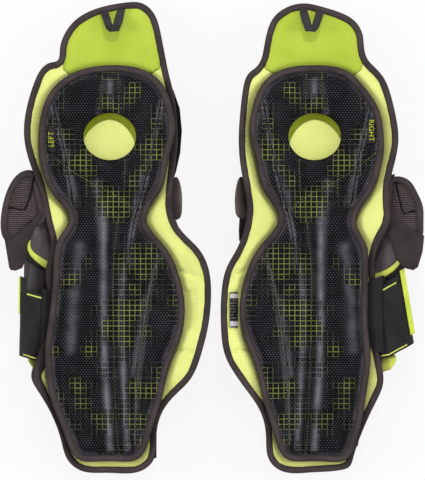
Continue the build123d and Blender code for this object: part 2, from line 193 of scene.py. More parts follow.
# The outline in which the wall meets the hole's floor.
HOLE_FLOOR = [
    (-26.8, 101.5), (-24.2, 110.5), (-17.4, 119.2), (-8.5, 125.6), (1.6, 128.2), (11.6, 125.6), (20.8, 118.4),
    (27, 109), (29, 101.5), (25.5, 95), (16, 87.6), (4, 84.6), (-8, 86.4), (-19, 92.6),
]
SEAMS = [
    [(13.2, 41), (9.5, 7.6), (5.9, -36.7), (5.1, -65.9), (6.6, -118.8), (8.7, -191.2), (10.9, -231)],
    [(56.2, -15.1), (44.5, -62.6), (37.3, -115.6), (33.6, -148), (29.7, -220.3)],
    [(-64.3, 92.9), (-22.7, 62.6), (13.5, 43.2), (29.7, 29.2)],
    [(-59.9, 145.8), (-47.5, 97.2), (-37.3, 36.7)],
    [(57.8, 146.9), (45.9, 83.2), (31.4, 29.2), (24.1, -7.6), (23.2, -29.2)],
    [(-5.1, 170.6), (-10.3, 136)],
    [(10.9, 170.6), (12.6, 138)],
    [(-22.7, 92), (-22.7, 42.1)],
    [(18.9, 86), (17.8, 46.4)],
]
# How strong the painted highlight on each seam's rims is.
SEAM_RIM_HIGHLIGHTS = [0.15, 0.45, 0.1, 0.75, 0.75, 0.3, 0.3, 0.1, 0.1]
TOP_PATCH = [(-5.9, 179.3), (11.3, 179.3), (11.3, 171.2), (-5.9, 171.2)]
# Raised folds of the liner: line, half width and height.
FOLDS = [
    ([(-3.8, 36.7), (-4.5, -40), (-3.8, -132.8), (2.7, -228)], 4.6, 3.6),
    ([(17.5, -30), (13.8, -74.5), (15.3, -118.8), (21, -228)], 4.2, 3.2),
    ([(2.5, 170), (3.5, 142)], 5.0, 2.6),
    ([(-12, 60), (-6, 8), (-4.5, -30)], 5.5, 2.2),
    ([(-44, 92), (-33.5, 36)], 3.5, 1.8),
    ([(41.5, 84), (28, 32)], 3.5, 1.8),
    ([(39.5, -66), (28, -148)], 4.0, 1.8),
    ([(-30, -10), (-36, -60), (-40, -120)], 7.0, 1.6),
]
TALLEST_FOLD = 3.6
# The painted highlight on the liner: the share of a fold's width, how far beside a seam its rim lies and its
# half width, and for the rim inside the tape its distance, its strength and its half width.
FOLD_CREST = 0.75
SEAM_RIM = (1.7, 1.3)
EDGE_RIM = (1.5, 0.35, 2.0)
# The side channels' upper edges, with a painted highlight along them: which seam, and how far beside it.
HIGHLIGHT_EDGES = ((3, 1.3), (4, -1.3), (1, -1.2))
# The side tags: heights off the liner, the letters' size, and each tag's middle, width and length.
TAG_HEIGHTS = (-0.4, 1.5)
LETTER_HEIGHTS = (1.4, 2.3)
LETTER_SIZE = 8.2
TAGS = {"left": (-60.6, 106.4, 8.0, 30.0), "right": (-58.6, 116.0, 8.0, 28.0)}

# ---------------------------------------------------------------- knee wing
WING_HINGE = np.array((-72.6, 36.0, 59.5))
WING_OUT = np.array((-0.9724, -0.2334))
# Arcs of the wing's two faces: three points, out from the hinge and up.
WING_UNDER = [(-3, -5), (23, -4), (49, 10.5)]
WING_OVER = [(-3, 0), (25, 6.5), (49, 15.5)]
WING_EDGE = [
    (-82, 73), (-92, 71.4), (-102, 62), (-109, 47.5), (-114, 24), (-114, 8), (-108, -4),
    (-98, -5), (-84, 7), (-67.6, 18.6), (-67.4, 30), (-72, 50),
]
RIGHT_WING_EDGE = [
    (-77, 63), (-84, 66.2), (-92, 65.6), (-100, 61), (-107, 50), (-113.3, 34.7), (-114, 14),
    (-112, 0), (-104, -6), (-94, -2), (-84, 7), (-71, 17), (-70.5, 30), (-73, 47),
]
WING_EDGES = {"left": WING_EDGE, "right": RIGHT_WING_EDGE}
WING_BINDING = 7.0
# The wing's face sinks inside its window and rises outside it, past these reaches from seam and edge.
WINDOW_STEPS = (-1.8, 1.2)
WINDOW_REACHES = (1.2, 3)
# The hinge tape's two faces, below the wing's under side.
HINGE_STRIP_DROPS = (2.4, 1.2)
# The broad strap: its lift off the wing, thickness, rolled edge, thicker lower part and ripple.
WING_STRAP_LIFT = 1.8
WING_STRAP_THICK = 1.5
WING_STRAP_ROLL = (1.3, 4)
WING_STRAP_FOOT = (-8, 0.7, 10)
WING_STRAP_RIPPLE = (0.8, 0.07)
# The seam round the wing's window, and the rest of the window's outline.
WING_SEAMS = {
    "left": [
        (-79.2, 66), (-80.6, 55), (-83.2, 43), (-86.6, 33.4), (-88.6, 30.2), (-96, 30.8), (-105.5, 32.8),
    ],
    "right": [
        (-84.6, 61), (-86.2, 50), (-88.5, 39.9), (-90.5, 31), (-93, 26.4), (-98, 27), (-105.5, 29.2),
    ],
}
WINDOW_CORNERS = {
    "left": [(-110, 40), (-106, 58), (-97, 70), (-86, 74)],
    "right": [(-109, 38), (-105, 54), (-97, 62), (-88, 63)],
}
HINGE_STRIP = [
    (-84, 69), (-79, 68), (-71.5, 50), (-67, 32), (-66, 18), (-71, 14), (-76, 30), (-80, 46),
]
WING_STRAP_EDGES = {
    "left": [
        (-70.5, 30), (-78.3, 21.6), (-87, 11.9), (-96.7, 2.6), (-103, -2.6), (-110.2, -0.6),
        (-107.4, -17), (-105, -31.5), (-103.4, -34.4), (-98, -35.2), (-91.6, -32.6), (-90, -30.4),
        (-87.2, -21), (-86.2, -7.7), (-80.6, 2.3), (-75.6, 15.9), (-68, 25),
    ],
    "right": [
        (-73, 32), (-88, 21), (-106, 6.6), (-111.9, 5), (-114.5, 2), (-112.7, -14.9), (-107.7, -31.4),
        (-102.8, -34.7), (-92.8, -32.3), (-84, -22), (-79, -6), (-76, 6.6), (-70, 19),
    ],
}

# ---------------------------------------------------------------- calf strap
STRAP_HINGE = np.array((-72.0, -95.0, 43.5))
STRAP_AXIS = np.array((0.168, 0.9858, 0.0))
STRAP_OUT = np.array((-0.9858, 0.168, 0.0))
# How each strap lies: the lean of its ends, how far its lower end is drawn in, and its two ends.
STRAP_LIE = {"left": (0.12, 0.4, -38, 33), "right": (0.38, 0.0, -34, 40)}
LOWER, UPPER = 0, 1
# The drawing in grows over this length, from none at this end.
STRAP_TOP = 38
STRAP_LENGTH = 76
# How far past the strap's upper end its curled corner reaches.
STRAP_TIP_RISE = {"left": 13, "right": 4}
# Section paths of the bands: out from the hinge and up.
STRAP_PATH = [
    (-9, -4.5), (-3, 0.8), (2.5, 6.0), (10, 12.0), (18, 22.0), (21.8, 26.0), (25.6, 25.6), (27.3, 22),
    (27.5, 12.0),
]
PIPING_PATH = [(-8.6, -2.6), (-3.4, 2.4), (1.6, 7.4), (8.9, 13.1), (16.8, 23.0), (20.5, 27.4)]
TIP_PATH = [(21.8, 27.6), (25.0, 27.2), (27.6, 24.5), (28.4, 18), (28.4, 12)]
# The end tab's path, start and stop.
HOOK_TABS = {
    "left": ([(29.2, 26), (29.8, 19), (29.8, 12.0)], 6, 45),
    "right": ([(26.4, 30.2), (30.4, 26), (30.8, 20), (30.4, 12.0)], -24, 46),
}
# The strap's root: its inset by the liner and how much that falls at the rim, from this x outwards
# and over this reach.
ROOT_INSETS = (10.4, 8.5)
ROOT_TURN = (-69, 8)
ROOT_THICK = 1.2
STRAP_ROOTS = {
    "left": [
        (-58.5, -60), (-62.5, -57), (-72, -53), (-76, -62), (-76, -90), (-80, -112), (-84, -124),
        (-76, -124), (-70, -113), (-63.5, -96), (-61, -78),
    ],
    "right": [
        (-53.5, -48), (-60, -44), (-72, -40), (-76, -50), (-76, -90), (-79, -106), (-80, -122),
        (-70, -124), (-60, -121), (-55, -112), (-53.5, -90),
    ],
}

# ---------------------------------------------------------------- flat pieces on the trough
PANEL_EDGES = {
    "left": [
        (-55, 22), (-70, 27), (-79, 18), (-83.5, 7), (-84.4, -4), (-83, -11), (-79.5, -15.5), (-72.5, -20.5),
        (-62, -25.5), (-56, -28),
    ],
    "right": [
        (-55, 22), (-70, 25), (-76, 12), (-82, -8), (-86, -20), (-84, -27), (-77, -33), (-70, -37),
        (-60, -40.5), (-55, -42),
    ],
}
STRIPE_LINES = {
    "left": [
        (-80.5, 0.8), (-83.4, -3.8), (-84.2, -9.4), (-82, -15.6), (-76.3, -21.6), (-68.6, -27.2),
        (-60, -32.5),
    ],
    "right": [
        (-84, -14), (-87.4, -20), (-87.6, -25), (-84, -30.5), (-78, -35.5), (-71, -39.5), (-58, -43.5),
    ],
}
# Half the stripe's width, at even steps along its line.
STRIPE_HALF = [0.6, 1.9, 2.7, 3.3, 3.7, 4.0, 4.0]
LOWER_STRIPES = dict.fromkeys(SIDES, [(-68, -130), (-84.5, -126), (-86, -132), (-80, -142), (-68, -146)])
TAB_EDGES = {
    "left": [(66.5, 60), (74, 66), (79.5, 54), (80.5, 34), (77, 20.5), (67, 20.5)],
    "right": [(74.5, 60), (82, 66), (87.5, 54), (88.5, 34), (85, 22), (75, 21)],
}
LINK_EDGES = {
    "left": [(66, 20), (73.8, 19.2), (76.5, 12), (82, 3), (78, -3), (70, 4)],
    "right": [(74, 24), (83.6, 23), (84.4, 8), (84, -3), (79, -5), (74, 6)],
}
FOAM_EDGE = [
    (0, 182), (44, 172), (66, 150), (72, 112), (64, 70), (44, 44), (0, 36),
    (-44, 44), (-64, 70), (-72, 112), (-66, 150), (-44, 172),
]
# The pull loop: its inset and thickness, the lap of one leg over the other, and its stand off the flap
# from this y down, over this reach.
LOOP_INSET = 10.6
LOOP_THICK = 1.3
LOOP_LAP = 1.6
LOOP_STAND = 13.0
LOOP_TURN = (247, 22)
LOOP_LEGS = [
    [(-8.7, 246), (0.4, 246), (6.2, 227.5), (9.5, 223), (2, 222.4), (-1.8, 226)],
    [(10.2, 247.5), (18.9, 247.5), (16.4, 233.9), (12.3, 223), (3, 222.6), (5.4, 229.7)],
]


# ---------------------------------------------------------------- curves
def cubic(t, values, closed):
    """Second derivatives of the cubic spline through values at knots t."""
    h = np.diff(t)
    m = len(values) - 1 if closed else len(values)
    rows = np.zeros((m, m))
    right = np.zeros((m,) + values.shape[1:])
    for i in range(m) if closed else range(1, m - 1):
        before, after = h[i - 1], h[i]
        rows[i, (i - 1) % m] += before
        rows[i, i] += 2 * (before + after)
        rows[i, (i + 1) % m] += after
        right[i] = 6 * ((values[i + 1] - values[i]) / after - (values[i] - values[(i - 1) % m]) / before)
    if not closed:
        rows[0, 0] = rows[-1, -1] = 1
    second = np.linalg.solve(rows, right)
    return np.concatenate([second, second[:1]]) if closed else second


def evaluate(t, values, second, at):
    """The spline's points at the given knots' lengths."""
    i = np.clip(np.searchsorted(t, at, side="right") - 1, 0, len(t) - 2)
    h = (t[i + 1] - t[i])[:, None]
    a = (t[i + 1] - at)[:, None] / h
    b = (at - t[i])[:, None] / h
    bend = (a ** 3 - a) * second[i] + (b ** 3 - b) * second[i + 1]
    return a * values[i] + b * values[i + 1] + bend * h ** 2 / 6


def run_along(line):
    """The length along a polyline at each of its points."""
    return np.concatenate([[0], np.cumsum(np.linalg.norm(np.diff(line, axis=0), axis=1))])


def curve(points, spacing, closed=True):
    """Points about every spacing mm along the smooth curve through the given ones."""
    p = np.array(points, float)
    if closed:
        p = np.concatenate([p, p[:1]])
    t = run_along(p)
    fine = evaluate(t, p, cubic(t, p, closed), np.linspace(0, t[-1], 40 * len(p)))
    length = run_along(fine)
    count = max(3, int(round(length[-1] / spacing)))
    at = np.linspace(0, length[-1], count + 1)
    out = np.stack([np.interp(at, length, fine[:, k]) for k in range(p.shape[1])], axis=1)
    return out[:-1] if closed else out


def dense(points, spacing):
    """A closed polyline with points added along its sides, about spacing mm apart."""
    points = np.array(points, float)
    out = []
    for a, b in zip(points, np.roll(points, -1, axis=0)):
        steps = max(1, int(np.linalg.norm(b - a) / spacing))
        out += [a + (b - a) * k / steps for k in range(steps)]
    return np.array(out)


def sideways(line):
    """Unit vectors to the left of an open polyline."""
    forward = np.gradient(line, axis=0)
    forward /= np.linalg.norm(forward, axis=1)[:, None]
    return np.stack([-forward[:, 1], forward[:, 0]], axis=1)


def doubled_area(loop):
    """Twice the area of a closed polyline, positive when it runs anticlockwise."""
    x, y = loop.T
    return np.sum(x * np.roll(y, -1) - np.roll(x, -1) * y)


def turned(loop):
    """The loop, run anticlockwise."""
    return loop if doubled_area(loop) > 0 else loop[::-1]


def moved_in(loop, amount):
    """A closed polyline moved inwards."""
    forward = np.roll(loop, -1, axis=0) - np.roll(loop, 1, axis=0)
    forward /= np.linalg.norm(forward, axis=1)[:, None]
    normal = np.stack([-forward[:, 1], forward[:, 0]], axis=1)
    return loop + math.copysign(amount, doubled_area(loop)) * normal


def distance(points, line, closed=False):
    """Distance of every plan point from a polyline."""
    a = np.array(line, float)
    b = np.roll(a, -1, axis=0) if closed else a[1:]
    a = a if closed else a[:-1]
    best = np.full(len(points), 1e9)
    for start, stop in zip(a, b):
        along = stop - start
        t = np.clip(((points - start) @ along) / max(along @ along, 1e-9), 0, 1)
        best = np.minimum(best, np.linalg.norm(points - start - t[:, None] * along, axis=1))
    return best


def nearest(plan, lines):
    """Distance of every plan point from the nearest of several lines."""
    return np.min([distance(plan, line) for line in lines], axis=0)


def inside(points, loop):
    """Whether each plan point lies in a closed polyline."""
    result = np.zeros(len(points), bool)
    x, y = points[:, 0], points[:, 1]
    for (ax, ay), (bx, by) in zip(loop, np.roll(loop, -1, axis=0)):
        crosses = (ay > y) != (by > y)
        with np.errstate(divide="ignore", invalid="ignore"):
            result ^= crosses & (x < (bx - ax) * (y - ay) / (by - ay) + ax)
    return result


def cut(loop, low, high):
    """The part of a closed polyline between two values of y, its ends joined by straight lines."""
    out = []
    for a, b in zip(loop, np.roll(loop, -1, axis=0)):
        if low <= a[1] <= high:
            out.append(a)
        for limit in sorted((low, high), key=lambda v: abs(v - a[1])):
            if (a[1] - limit) * (b[1] - limit) < 0:
                t = (limit - a[1]) / (b[1] - a[1])
                out.append(a + t * (b - a))
    full = []
    for a, b in zip(out, out[1:] + out[:1]):
        full.append(a)
        gap = np.linalg.norm(b - a)
        if gap > 5:
            steps = int(gap / 3.0)
            full += [a + (b - a) * k / steps for k in range(1, steps)]
    return np.array(full)


def run_between(loop, low, high):
    """The first run of a closed line between two values of y."""
    keep = (loop[:, 1] >= low) & (loop[:, 1] <= high)
    first = int(np.argmax(~keep))
    line, keep = np.roll(loop, -first, axis=0), np.roll(keep, -first)
    start = int(np.argmax(keep))
    count = int(np.argmax(~keep[start:])) or len(keep) - start
    return line[start:start + count]


def ease(t):
    """A smooth step from 0 to 1."""
    t = np.clip(t, 0, 1)
    return t * t * (3 - 2 * t)


def swell(away, high, reach):
    """A soft rise from 0, at distances from where it starts."""
    return high * ease(away / reach)


def dip(away, deep, reach):
    """The depth of a soft groove, at distances from its line."""
    return deep * (1 - ease(away / reach))


def bump(away, wide):
    """A round ridge of height 1, at distances from its line."""
    return np.exp(-(away / wide) ** 2)


# ---------------------------------------------------------------- surfaces
# The trough's stations joined by straight lines and then smoothed over a short length.
LENGTHS = np.arange(-300.0, 301.0)
SOFTEN = np.hanning(33)[1:-1]
STATION_TABLE = []
for station_value in np.array(TROUGH, float).T[1:]:
    straight = np.interp(np.arange(-316.0, 317.0), np.array(TROUGH, float)[:, 0], station_value)
    STATION_TABLE.append(np.convolve(straight, SOFTEN / SOFTEN.sum(), "same")[16:-16])


def trough_z(x, y, inset):
    """Height of the trough's surface at plan points, inset towards the leg."""
    xc, half, low = [np.interp(y, LENGTHS, column) for column in STATION_TABLE]
    depth = half * DEPTH_SHARE
    u = np.clip(np.abs(x - xc) / (half - inset / DEPTH_SHARE), 0, STEEPEST)
    z = low + depth - (depth - inset) * np.sqrt(1 - u ** 2)
    return np.where(z > RIM_TOP, RIM_TOP + RIM_SHARE * (z - RIM_TOP), z)


def level(inset):
    """The trough's surface at one inset, as a function of x and y."""
    return lambda x, y: trough_z(x, y, inset)


def face(inset_of, side):
    """The leg side of the pad or the liner, as a function of x and y."""
    return lambda x, y: trough_z(x, y, inset_of(np.column_stack([x, y]), side))


def around_hole(count, grow=0.0):
    """Points round the knee hole."""
    (x, y), (wide, long) = HOLE_CENTRE, HOLE_RADII
    turns = np.linspace(0, 2 * math.pi, count + 1)[:-1]
    return np.array([(x + (wide + grow) * math.cos(a), y + (long + grow) * math.sin(a)) for a in turns])


carrier_loops = {side: curve(GUARD_EDGES[side], 3.0) for side in SIDES}
fine_guards = {side: turned(curve(GUARD_EDGES[side], 2.5)) for side in SIDES}
liner_loops = {side: curve(LINER_EDGES[side], 3.0) for side in SIDES}
fine_liners = {side: turned(curve(LINER_EDGES[side], 2.5)) for side in SIDES}
wing_loops = {side: turned(curve(WING_EDGES[side], 2.0)) for side in SIDES}
hole_loop = around_hole(64)
seam_lines = [curve(points, 3.0, False) for points in SEAMS]
fine_seams = [curve(points, 1.6, False) for points in SEAMS]


def carrier_inset(plan, side):
    """Inset of the lime pad's leg side: soft near the binding and the seams, flat under the liner."""
    edge = distance(plan, moved_in(carrier_loops[side], BINDING_WIDTH), True)
    liner = np.where(inside(plan, liner_loops[side]), 0, distance(plan, liner_loops[side], True))
    top = PAD_FACE + swell(edge, *PAD_SWELL) * ease(liner / PAD_BESIDE_LINER)
    top -= dip(nearest(plan, CARRIER_SEAMS), *CARRIER_SEAM_DIP)
    top -= dip(nearest(plan, CREASES), *CREASE_DIP)
    x, y, wide, long = CALF_LABEL
    beside = np.maximum(np.abs(plan[:, 0] - x) - wide / 2, np.abs(plan[:, 1] - y) - long / 2)
    return np.minimum(top, LABEL_BED + swell(beside - LABEL_MARGIN, *LABEL_SWELL))


def liner_inset(plan, side):
    """Inset of the liner's leg side, with pillows between its sewn seams and raised folds."""
    edge = distance(plan, moved_in(liner_loops[side], LINER_BINDING_WIDTH), True)
    hole = distance(plan, hole_loop, True)
    seam = nearest(plan, seam_lines)
    low_share, *more = SEAM_SHARES
    pillow = LINER_FACE + swell(edge, *LINER_SWELL) * (low_share + swell(seam, *more))
    pillow -= dip(seam, *LINER_SEAM_DIP)
    for line, wide, high in FOLDS:
        pillow += high * bump(distance(plan, line), wide)
    near_hole = HOLE_RIM + swell(hole, pillow - HOLE_RIM, HOLE_RIM_REACH)
    return np.where(hole < HOLE_RIM_REACH, near_hole, pillow)


def arc(points):
    """Height of the arc through three points, as a function of the first coordinate."""
    (ax, ay), (bx, by), (cx, cy) = points
    a, b, c = ax ** 2 + ay ** 2, bx ** 2 + by ** 2, cx ** 2 + cy ** 2
    d = 2 * (ax * (by - cy) + bx * (cy - ay) + cx * (ay - by))
    ux = (a * (by - cy) + b * (cy - ay) + c * (ay - by)) / d
    uy = (a * (cx - bx) + b * (ax - cx) + c * (bx - ax)) / d
    r = math.hypot(ax - ux, ay - uy)
    sign = 1 if by > uy else -1
    return lambda x: uy + sign * np.sqrt(np.maximum(r ** 2 - (x - ux) ** 2, 0))


def wing_face(points):
    """One face of the wing, an arc about its hinge, as a function of x and y."""
    rise = arc(points)

    def height(x, y):
        out = (np.asarray(x) - WING_HINGE[0]) * WING_OUT[0] + (np.asarray(y) - WING_HINGE[1]) * WING_OUT[1]
        return WING_HINGE[2] + rise(out)
    return height


wing_low, wing_high = wing_face(WING_UNDER), wing_face(WING_OVER)


# ---------------------------------------------------------------- meshes
def closed_mesh(name, verts, faces, uv=None):
    """A smooth closed mesh in mm of the left guard; its UV is the plan in metres unless given."""
    verts = np.array(verts)
    mesh = bpy.data.meshes.new(name)
    mesh.from_pydata([tuple(v) for v in verts], [], [tuple(int(i) for i in f) for f in faces])
    layer = mesh.uv_layers.new(name="UVMap")
    loops = np.zeros(len(mesh.loops), int)
    mesh.loops.foreach_get("vertex_index", loops)
    uv = verts[:, :2] * MM if uv is None else uv
    layer.data.foreach_set("uv", np.asarray(uv, np.float32)[loops].ravel())
    mesh.validate()
    for polygon in mesh.polygons:
        polygon.use_smooth = True
    bm = bmesh.new()
    bm.from_mesh(mesh)
    bmesh.ops.recalc_face_normals(bm, faces=bm.faces)
    bm.to_mesh(mesh)
    bm.free()
    obj = bpy.data.objects.new(name, mesh)
    bpy.context.collection.objects.link(obj)
    return obj


def side_x(side, x):
    """World x in metres of a point on one guard."""
    return (x - HALF_SPACING) * MM * (1 if side == "left" else -1)


def place(obj, side):
    """Move a left guard's mesh into the world, in metres, mirrored for the right guard."""
    mesh = obj.data
    co = np.zeros(len(mesh.vertices) * 3)
    mesh.vertices.foreach_get("co", co)
    co = co.reshape(-1, 3)
    co[:, 0] -= HALF_SPACING
    if side == "right":
        co[:, 0] *= -1
    mesh.vertices.foreach_set("co", (co * MM).ravel())
    if side == "right":
        mesh.flip_normals()
    mesh.update()


def fill(loop, spacing, holes=(), extra=None):
    """Plan triangulation inside a closed polyline, with inner points on a grid and any extra ones."""
    def clear(points, share):
        kept = inside(points, loop) & (distance(points, loop, True) > spacing * share)
        for hole in holes:
            kept &= ~inside(points, hole) & (distance(points, hole, True) > spacing * share)
        return kept

    low, high = loop.min(axis=0), loop.max(axis=0)
    xs = np.arange(low[0], high[0], spacing)
    ys = np.arange(low[1], high[1], spacing * 0.866)
    grid = np.array([(x + (spacing / 2 if j % 2 else 0), y) for j, y in enumerate(ys) for x in xs])
    grid = grid[clear(grid, 0.55)]
    if extra is not None:
        extra = extra[clear(extra, 0.4)]
        gap = np.array([np.min(np.abs(extra - q).sum(axis=1)) for q in grid])
        grid = np.concatenate([grid[gap > spacing * 0.6], extra])
    rings = [loop] + list(holes)
    points = np.concatenate(rings + [grid])
    edges, at = [], 0
    for ring in rings:
        edges += [(at + i, at + (i + 1) % len(ring)) for i in range(len(ring))]
        at += len(ring)
    out = delaunay_2d_cdt([Vector(p) for p in points], edges, [], 1 if not holes else 0, 1e-5)
    verts = np.array([tuple(v) for v in out[0]])
    faces = np.array([f for f in out[2] if len(f) == 3])
    centres = verts[faces].mean(axis=1)
    keep = inside(centres, loop)
    for hole in holes:
        keep &= ~inside(centres, hole)
    return verts, faces[keep]


def sheet(plan, faces, low, high):
    """Points and faces of a closed sheet over a plan triangulation, between two heights."""
    n = len(plan)
    verts = np.concatenate([np.column_stack([plan, high]), np.column_stack([plan, low])])
    edges = dict.fromkeys((f[k], f[(k + 1) % 3]) for f in faces for k in range(3))
    polys = [tuple(f) for f in faces] + [tuple(i + n for i in f[::-1]) for f in faces]
    polys += [(b, a, a + n, b + n) for a, b in edges if (b, a) not in edges]
    return verts, polys


def slab(name, plan, faces, low, high):
    """A closed sheet between two heights."""
    return closed_mesh(name, *sheet(plan, faces, low, high))


def trough_slab(name, plan, faces, low, high):
    """A closed sheet between two insets."""
    x, y = plan.T
    return slab(name, plan, faces, trough_z(x, y, low), trough_z(x, y, high))


def tape(name, line, width, low, high, closed=True, proud=1.5, wave=0.0, seed=0.0, wider=()):
    """Binding folded round an edge: line is the outer edge, low and high give the sheet's two faces."""
    n, m = len(line), len(TAPE_SECTION)
    inwards = moved_in(line, 1.0) - line if closed else sideways(line)
    run = run_along(line)
    ripple = np.array([noise.noise((t * 0.09, seed, 1.7)) for t in run])
    extra = sum(more * bump(np.linalg.norm(line - np.array(at), axis=1), reach) for at, reach, more in wider)
    wide = width * (1 + wave * ripple) + extra
    rings = []
    for share, side, lift in TAPE_SECTION:
        p = line + inwards * (share * wide)[:, None]
        a, b = low(*p.T), high(*p.T)
        z = {1: b + lift * proud, 0: b + (a - b) * lift, -1: a - lift * proud}[side]
        rings.append(np.column_stack([p, z]))
    verts = np.stack(rings, axis=1).reshape(-1, 3)
    faces = []
    for i in range(n if closed else n - 1):
        j = (i + 1) % n
        for k in range(m):
            l = (k + 1) % m
            faces.append((i * m + k, j * m + k, j * m + l, i * m + l))
    if not closed:
        faces += [tuple(range(m)), tuple((n - 1) * m + k for k in range(m))[::-1]]
    uv = np.stack([np.repeat(run, m) * MM, np.tile(np.linspace(0, 1, m), n)], axis=1)
    return closed_mesh(name, verts, faces, uv)


def stitches(name, lines, height, long=2.2, gap=0.8, thick=0.36, lift=0.75):
    """Thread stitches along plan lines, lying on a surface."""
    verts, faces = [], []
    for line in lines:
        run = run_along(line)
        start = gap
        while start + long < run[-1]:
            marks = np.linspace(start, start + long, 4)
            p = np.stack([np.interp(marks, run, line[:, k]) for k in (0, 1)], axis=1)
            z = height(*p.T) + np.array([-0.3, lift, lift, -0.3])
            forward = p[-1] - p[0]
            forward /= np.linalg.norm(forward)
            across = np.array([-forward[1], forward[0]])
            base = len(verts)
            for q, h, share in zip(p, z, (0.5, 1, 1, 0.5)):
                for c, d in ((-1, 0), (0, 1), (1, 0), (0, -0.6)):
                    verts.append((*(q + across * c * thick * share), h + d * thick * share))
            for i in range(3):
                for k in range(4):
                    a, b = base + 4 * i + k, base + 4 * i + (k + 1) % 4
                    faces.append((a, b, b + 4, a + 4))
            faces += [(base, base + 3, base + 2, base + 1), (base + 12, base + 13, base + 14, base + 15)]
            start += long + gap
    return closed_mesh(name, verts, faces)


def strip(name, lines, half, height, thick):
    """Thin strips along plan lines, lying on a surface."""
    verts, faces = [], []
    for line in lines:
        base = len(verts)
        for q, a, h in zip(line, sideways(line) * half, height(*line.T)):
            verts += [(*(q - a), h), (*q, h + thick), (*(q + a), h), (*q, h - thick)]
        for i in range(len(line) - 1):
            for k in range(4):
                p, r = base + 4 * i + k, base + 4 * i + (k + 1) % 4
                faces.append((p, r, r + 4, p + 4))
        end = base + 4 * (len(line) - 1)
        faces += [(base + 3, base + 2, base + 1, base), (end, end + 1, end + 2, end + 3)]
    return closed_mesh(name, verts, faces)


# ---------------------------------------------------------------- materials
def srgb(*color):
    """A linear colour with alpha, from 8-bit sRGB values."""
    shares = [c / 255 for c in color]
    return (*[c / 12.92 if c <= 0.04045 else ((c + 0.055) / 1.055) ** 2.4 for c in shares], 1.0)


def lighter(color, step):
    """An 8-bit colour made lighter."""
    return tuple(c + step for c in color)


class Signal:
    """A shader node's output, with the sums that maths nodes do on it."""

    def __init__(self, nodes, socket):
        self.nodes = nodes
        self.socket = socket

    def do(self, operation, other=0.0):
        return self.nodes.node("ShaderNodeMath", {0: self, 1: other}, operation=operation)

    def __add__(self, other):
        return self.do("ADD", other)

    def __sub__(self, other):
        return self.do("SUBTRACT", other)

    def __mul__(self, other):
        return self.do("MULTIPLY", other)

    def __truediv__(self, other):
        return self.do("DIVIDE", other)

    def __mod__(self, other):
        return self.do("MODULO", other)

    def __pow__(self, other):
        return self.do("POWER", other)

    def __lt__(self, other):
        return self.do("LESS_THAN", other)

    def __gt__(self, other):
        return self.do("GREATER_THAN", other)

    def __abs__(self):
        return self.do("ABSOLUTE")

    def wave(self, pitch):
        return (self * (2 * math.pi / pitch)).do("SINE")

    def remap(self, a, b, c=0.0, d=1.0):
        """A smooth step from c to d while the signal goes from a to b."""
        inputs = {"Value": self, "From Min": a, "From Max": b, "To Min": c, "To Max": d}
        return self.nodes.node("ShaderNodeMapRange", inputs, "Result", interpolation_type="SMOOTHSTEP")


class Nodes:
    """Short-hand for building a node material."""

    def __init__(self, name):
        self.material = bpy.data.materials.new(name)
        self.material.use_nodes = True
        self.tree = self.material.node_tree
        self.bsdf = self.tree.nodes["Principled BSDF"]
        coordinates = self.tree.nodes.new("ShaderNodeTexCoord").outputs
        self.uv, self.object, self.generated = [
            Signal(self, coordinates[kind]) for kind in ("UV", "Object", "Generated")
        ]

    def put(self, value, socket):
        """Feed a socket with a signal or a plain value."""
        if isinstance(value, Signal):
            self.tree.links.new(value.socket, socket)
        else:
            socket.default_value = value

    def node(self, kind, inputs, output=0, **settings):
        """The output of a new node with these inputs and settings."""
        made = self.tree.nodes.new(kind)
        for key, value in settings.items():
            setattr(made, key, value)
        for key, value in inputs.items():
            self.put(value, made.inputs[key])
        return Signal(self, made.outputs[output])

    def split(self, vector):
        """The three parts of a vector."""
        parts = self.node("ShaderNodeSeparateXYZ", {0: vector}).socket.node.outputs
        return [Signal(self, part) for part in parts]

    def join(self, x, y, z):
        return self.node("ShaderNodeCombineXYZ", {0: x, 1: y, 2: z})

    def mix(self, factor, a, b):
        """Between two colours, given as signals or as 8-bit sRGB values."""
        a, b = [srgb(*color) if isinstance(color, tuple) else color for color in (a, b)]
        return self.node("ShaderNodeMix", {0: factor, 6: a, 7: b}, 2, data_type="RGBA")

    def noise(self, scale, detail=2.0, vector=None, rough=0.5):
        inputs = {"Vector": vector or self.object, "Scale": scale, "Detail": detail, "Roughness": rough}
        return self.node("ShaderNodeTexNoise", inputs, "Fac")

    def finish(self, color, rough, height, depth, strength, **extra):
        """The material, with a bump of this depth in metres."""
        relief = {"Height": height, "Distance": depth, "Strength": strength}
        normal = self.node("ShaderNodeBump", relief, "Normal")
        inputs = {"Base Color": color, "Roughness": rough, "Normal": normal}
        inputs.update((key.replace("_", " "), value) for key, value in extra.items())
        for key, value in inputs.items():
            self.put(value, self.bsdf.inputs[key])
        return self.material


def cells(m, pitch_x, pitch_y, shift=True):
    """Cell coordinates: offsets from the cell's centre (-0.5 to 0.5) and the cell's numbers."""
    u, v, _ = m.split(m.uv)
    column, row = u / pitch_x, v / pitch_y
    row_number = row.do("FLOOR")
    if shift:
        column = column + row_number % 2.0 * 0.5
    column_number = column.do("FLOOR")
    return column - column_number - 0.5, row - row_number - 0.5, column_number, row_number


def from_centre(x, y):
    return (x ** 2.0 + y ** 2.0).do("SQRT")


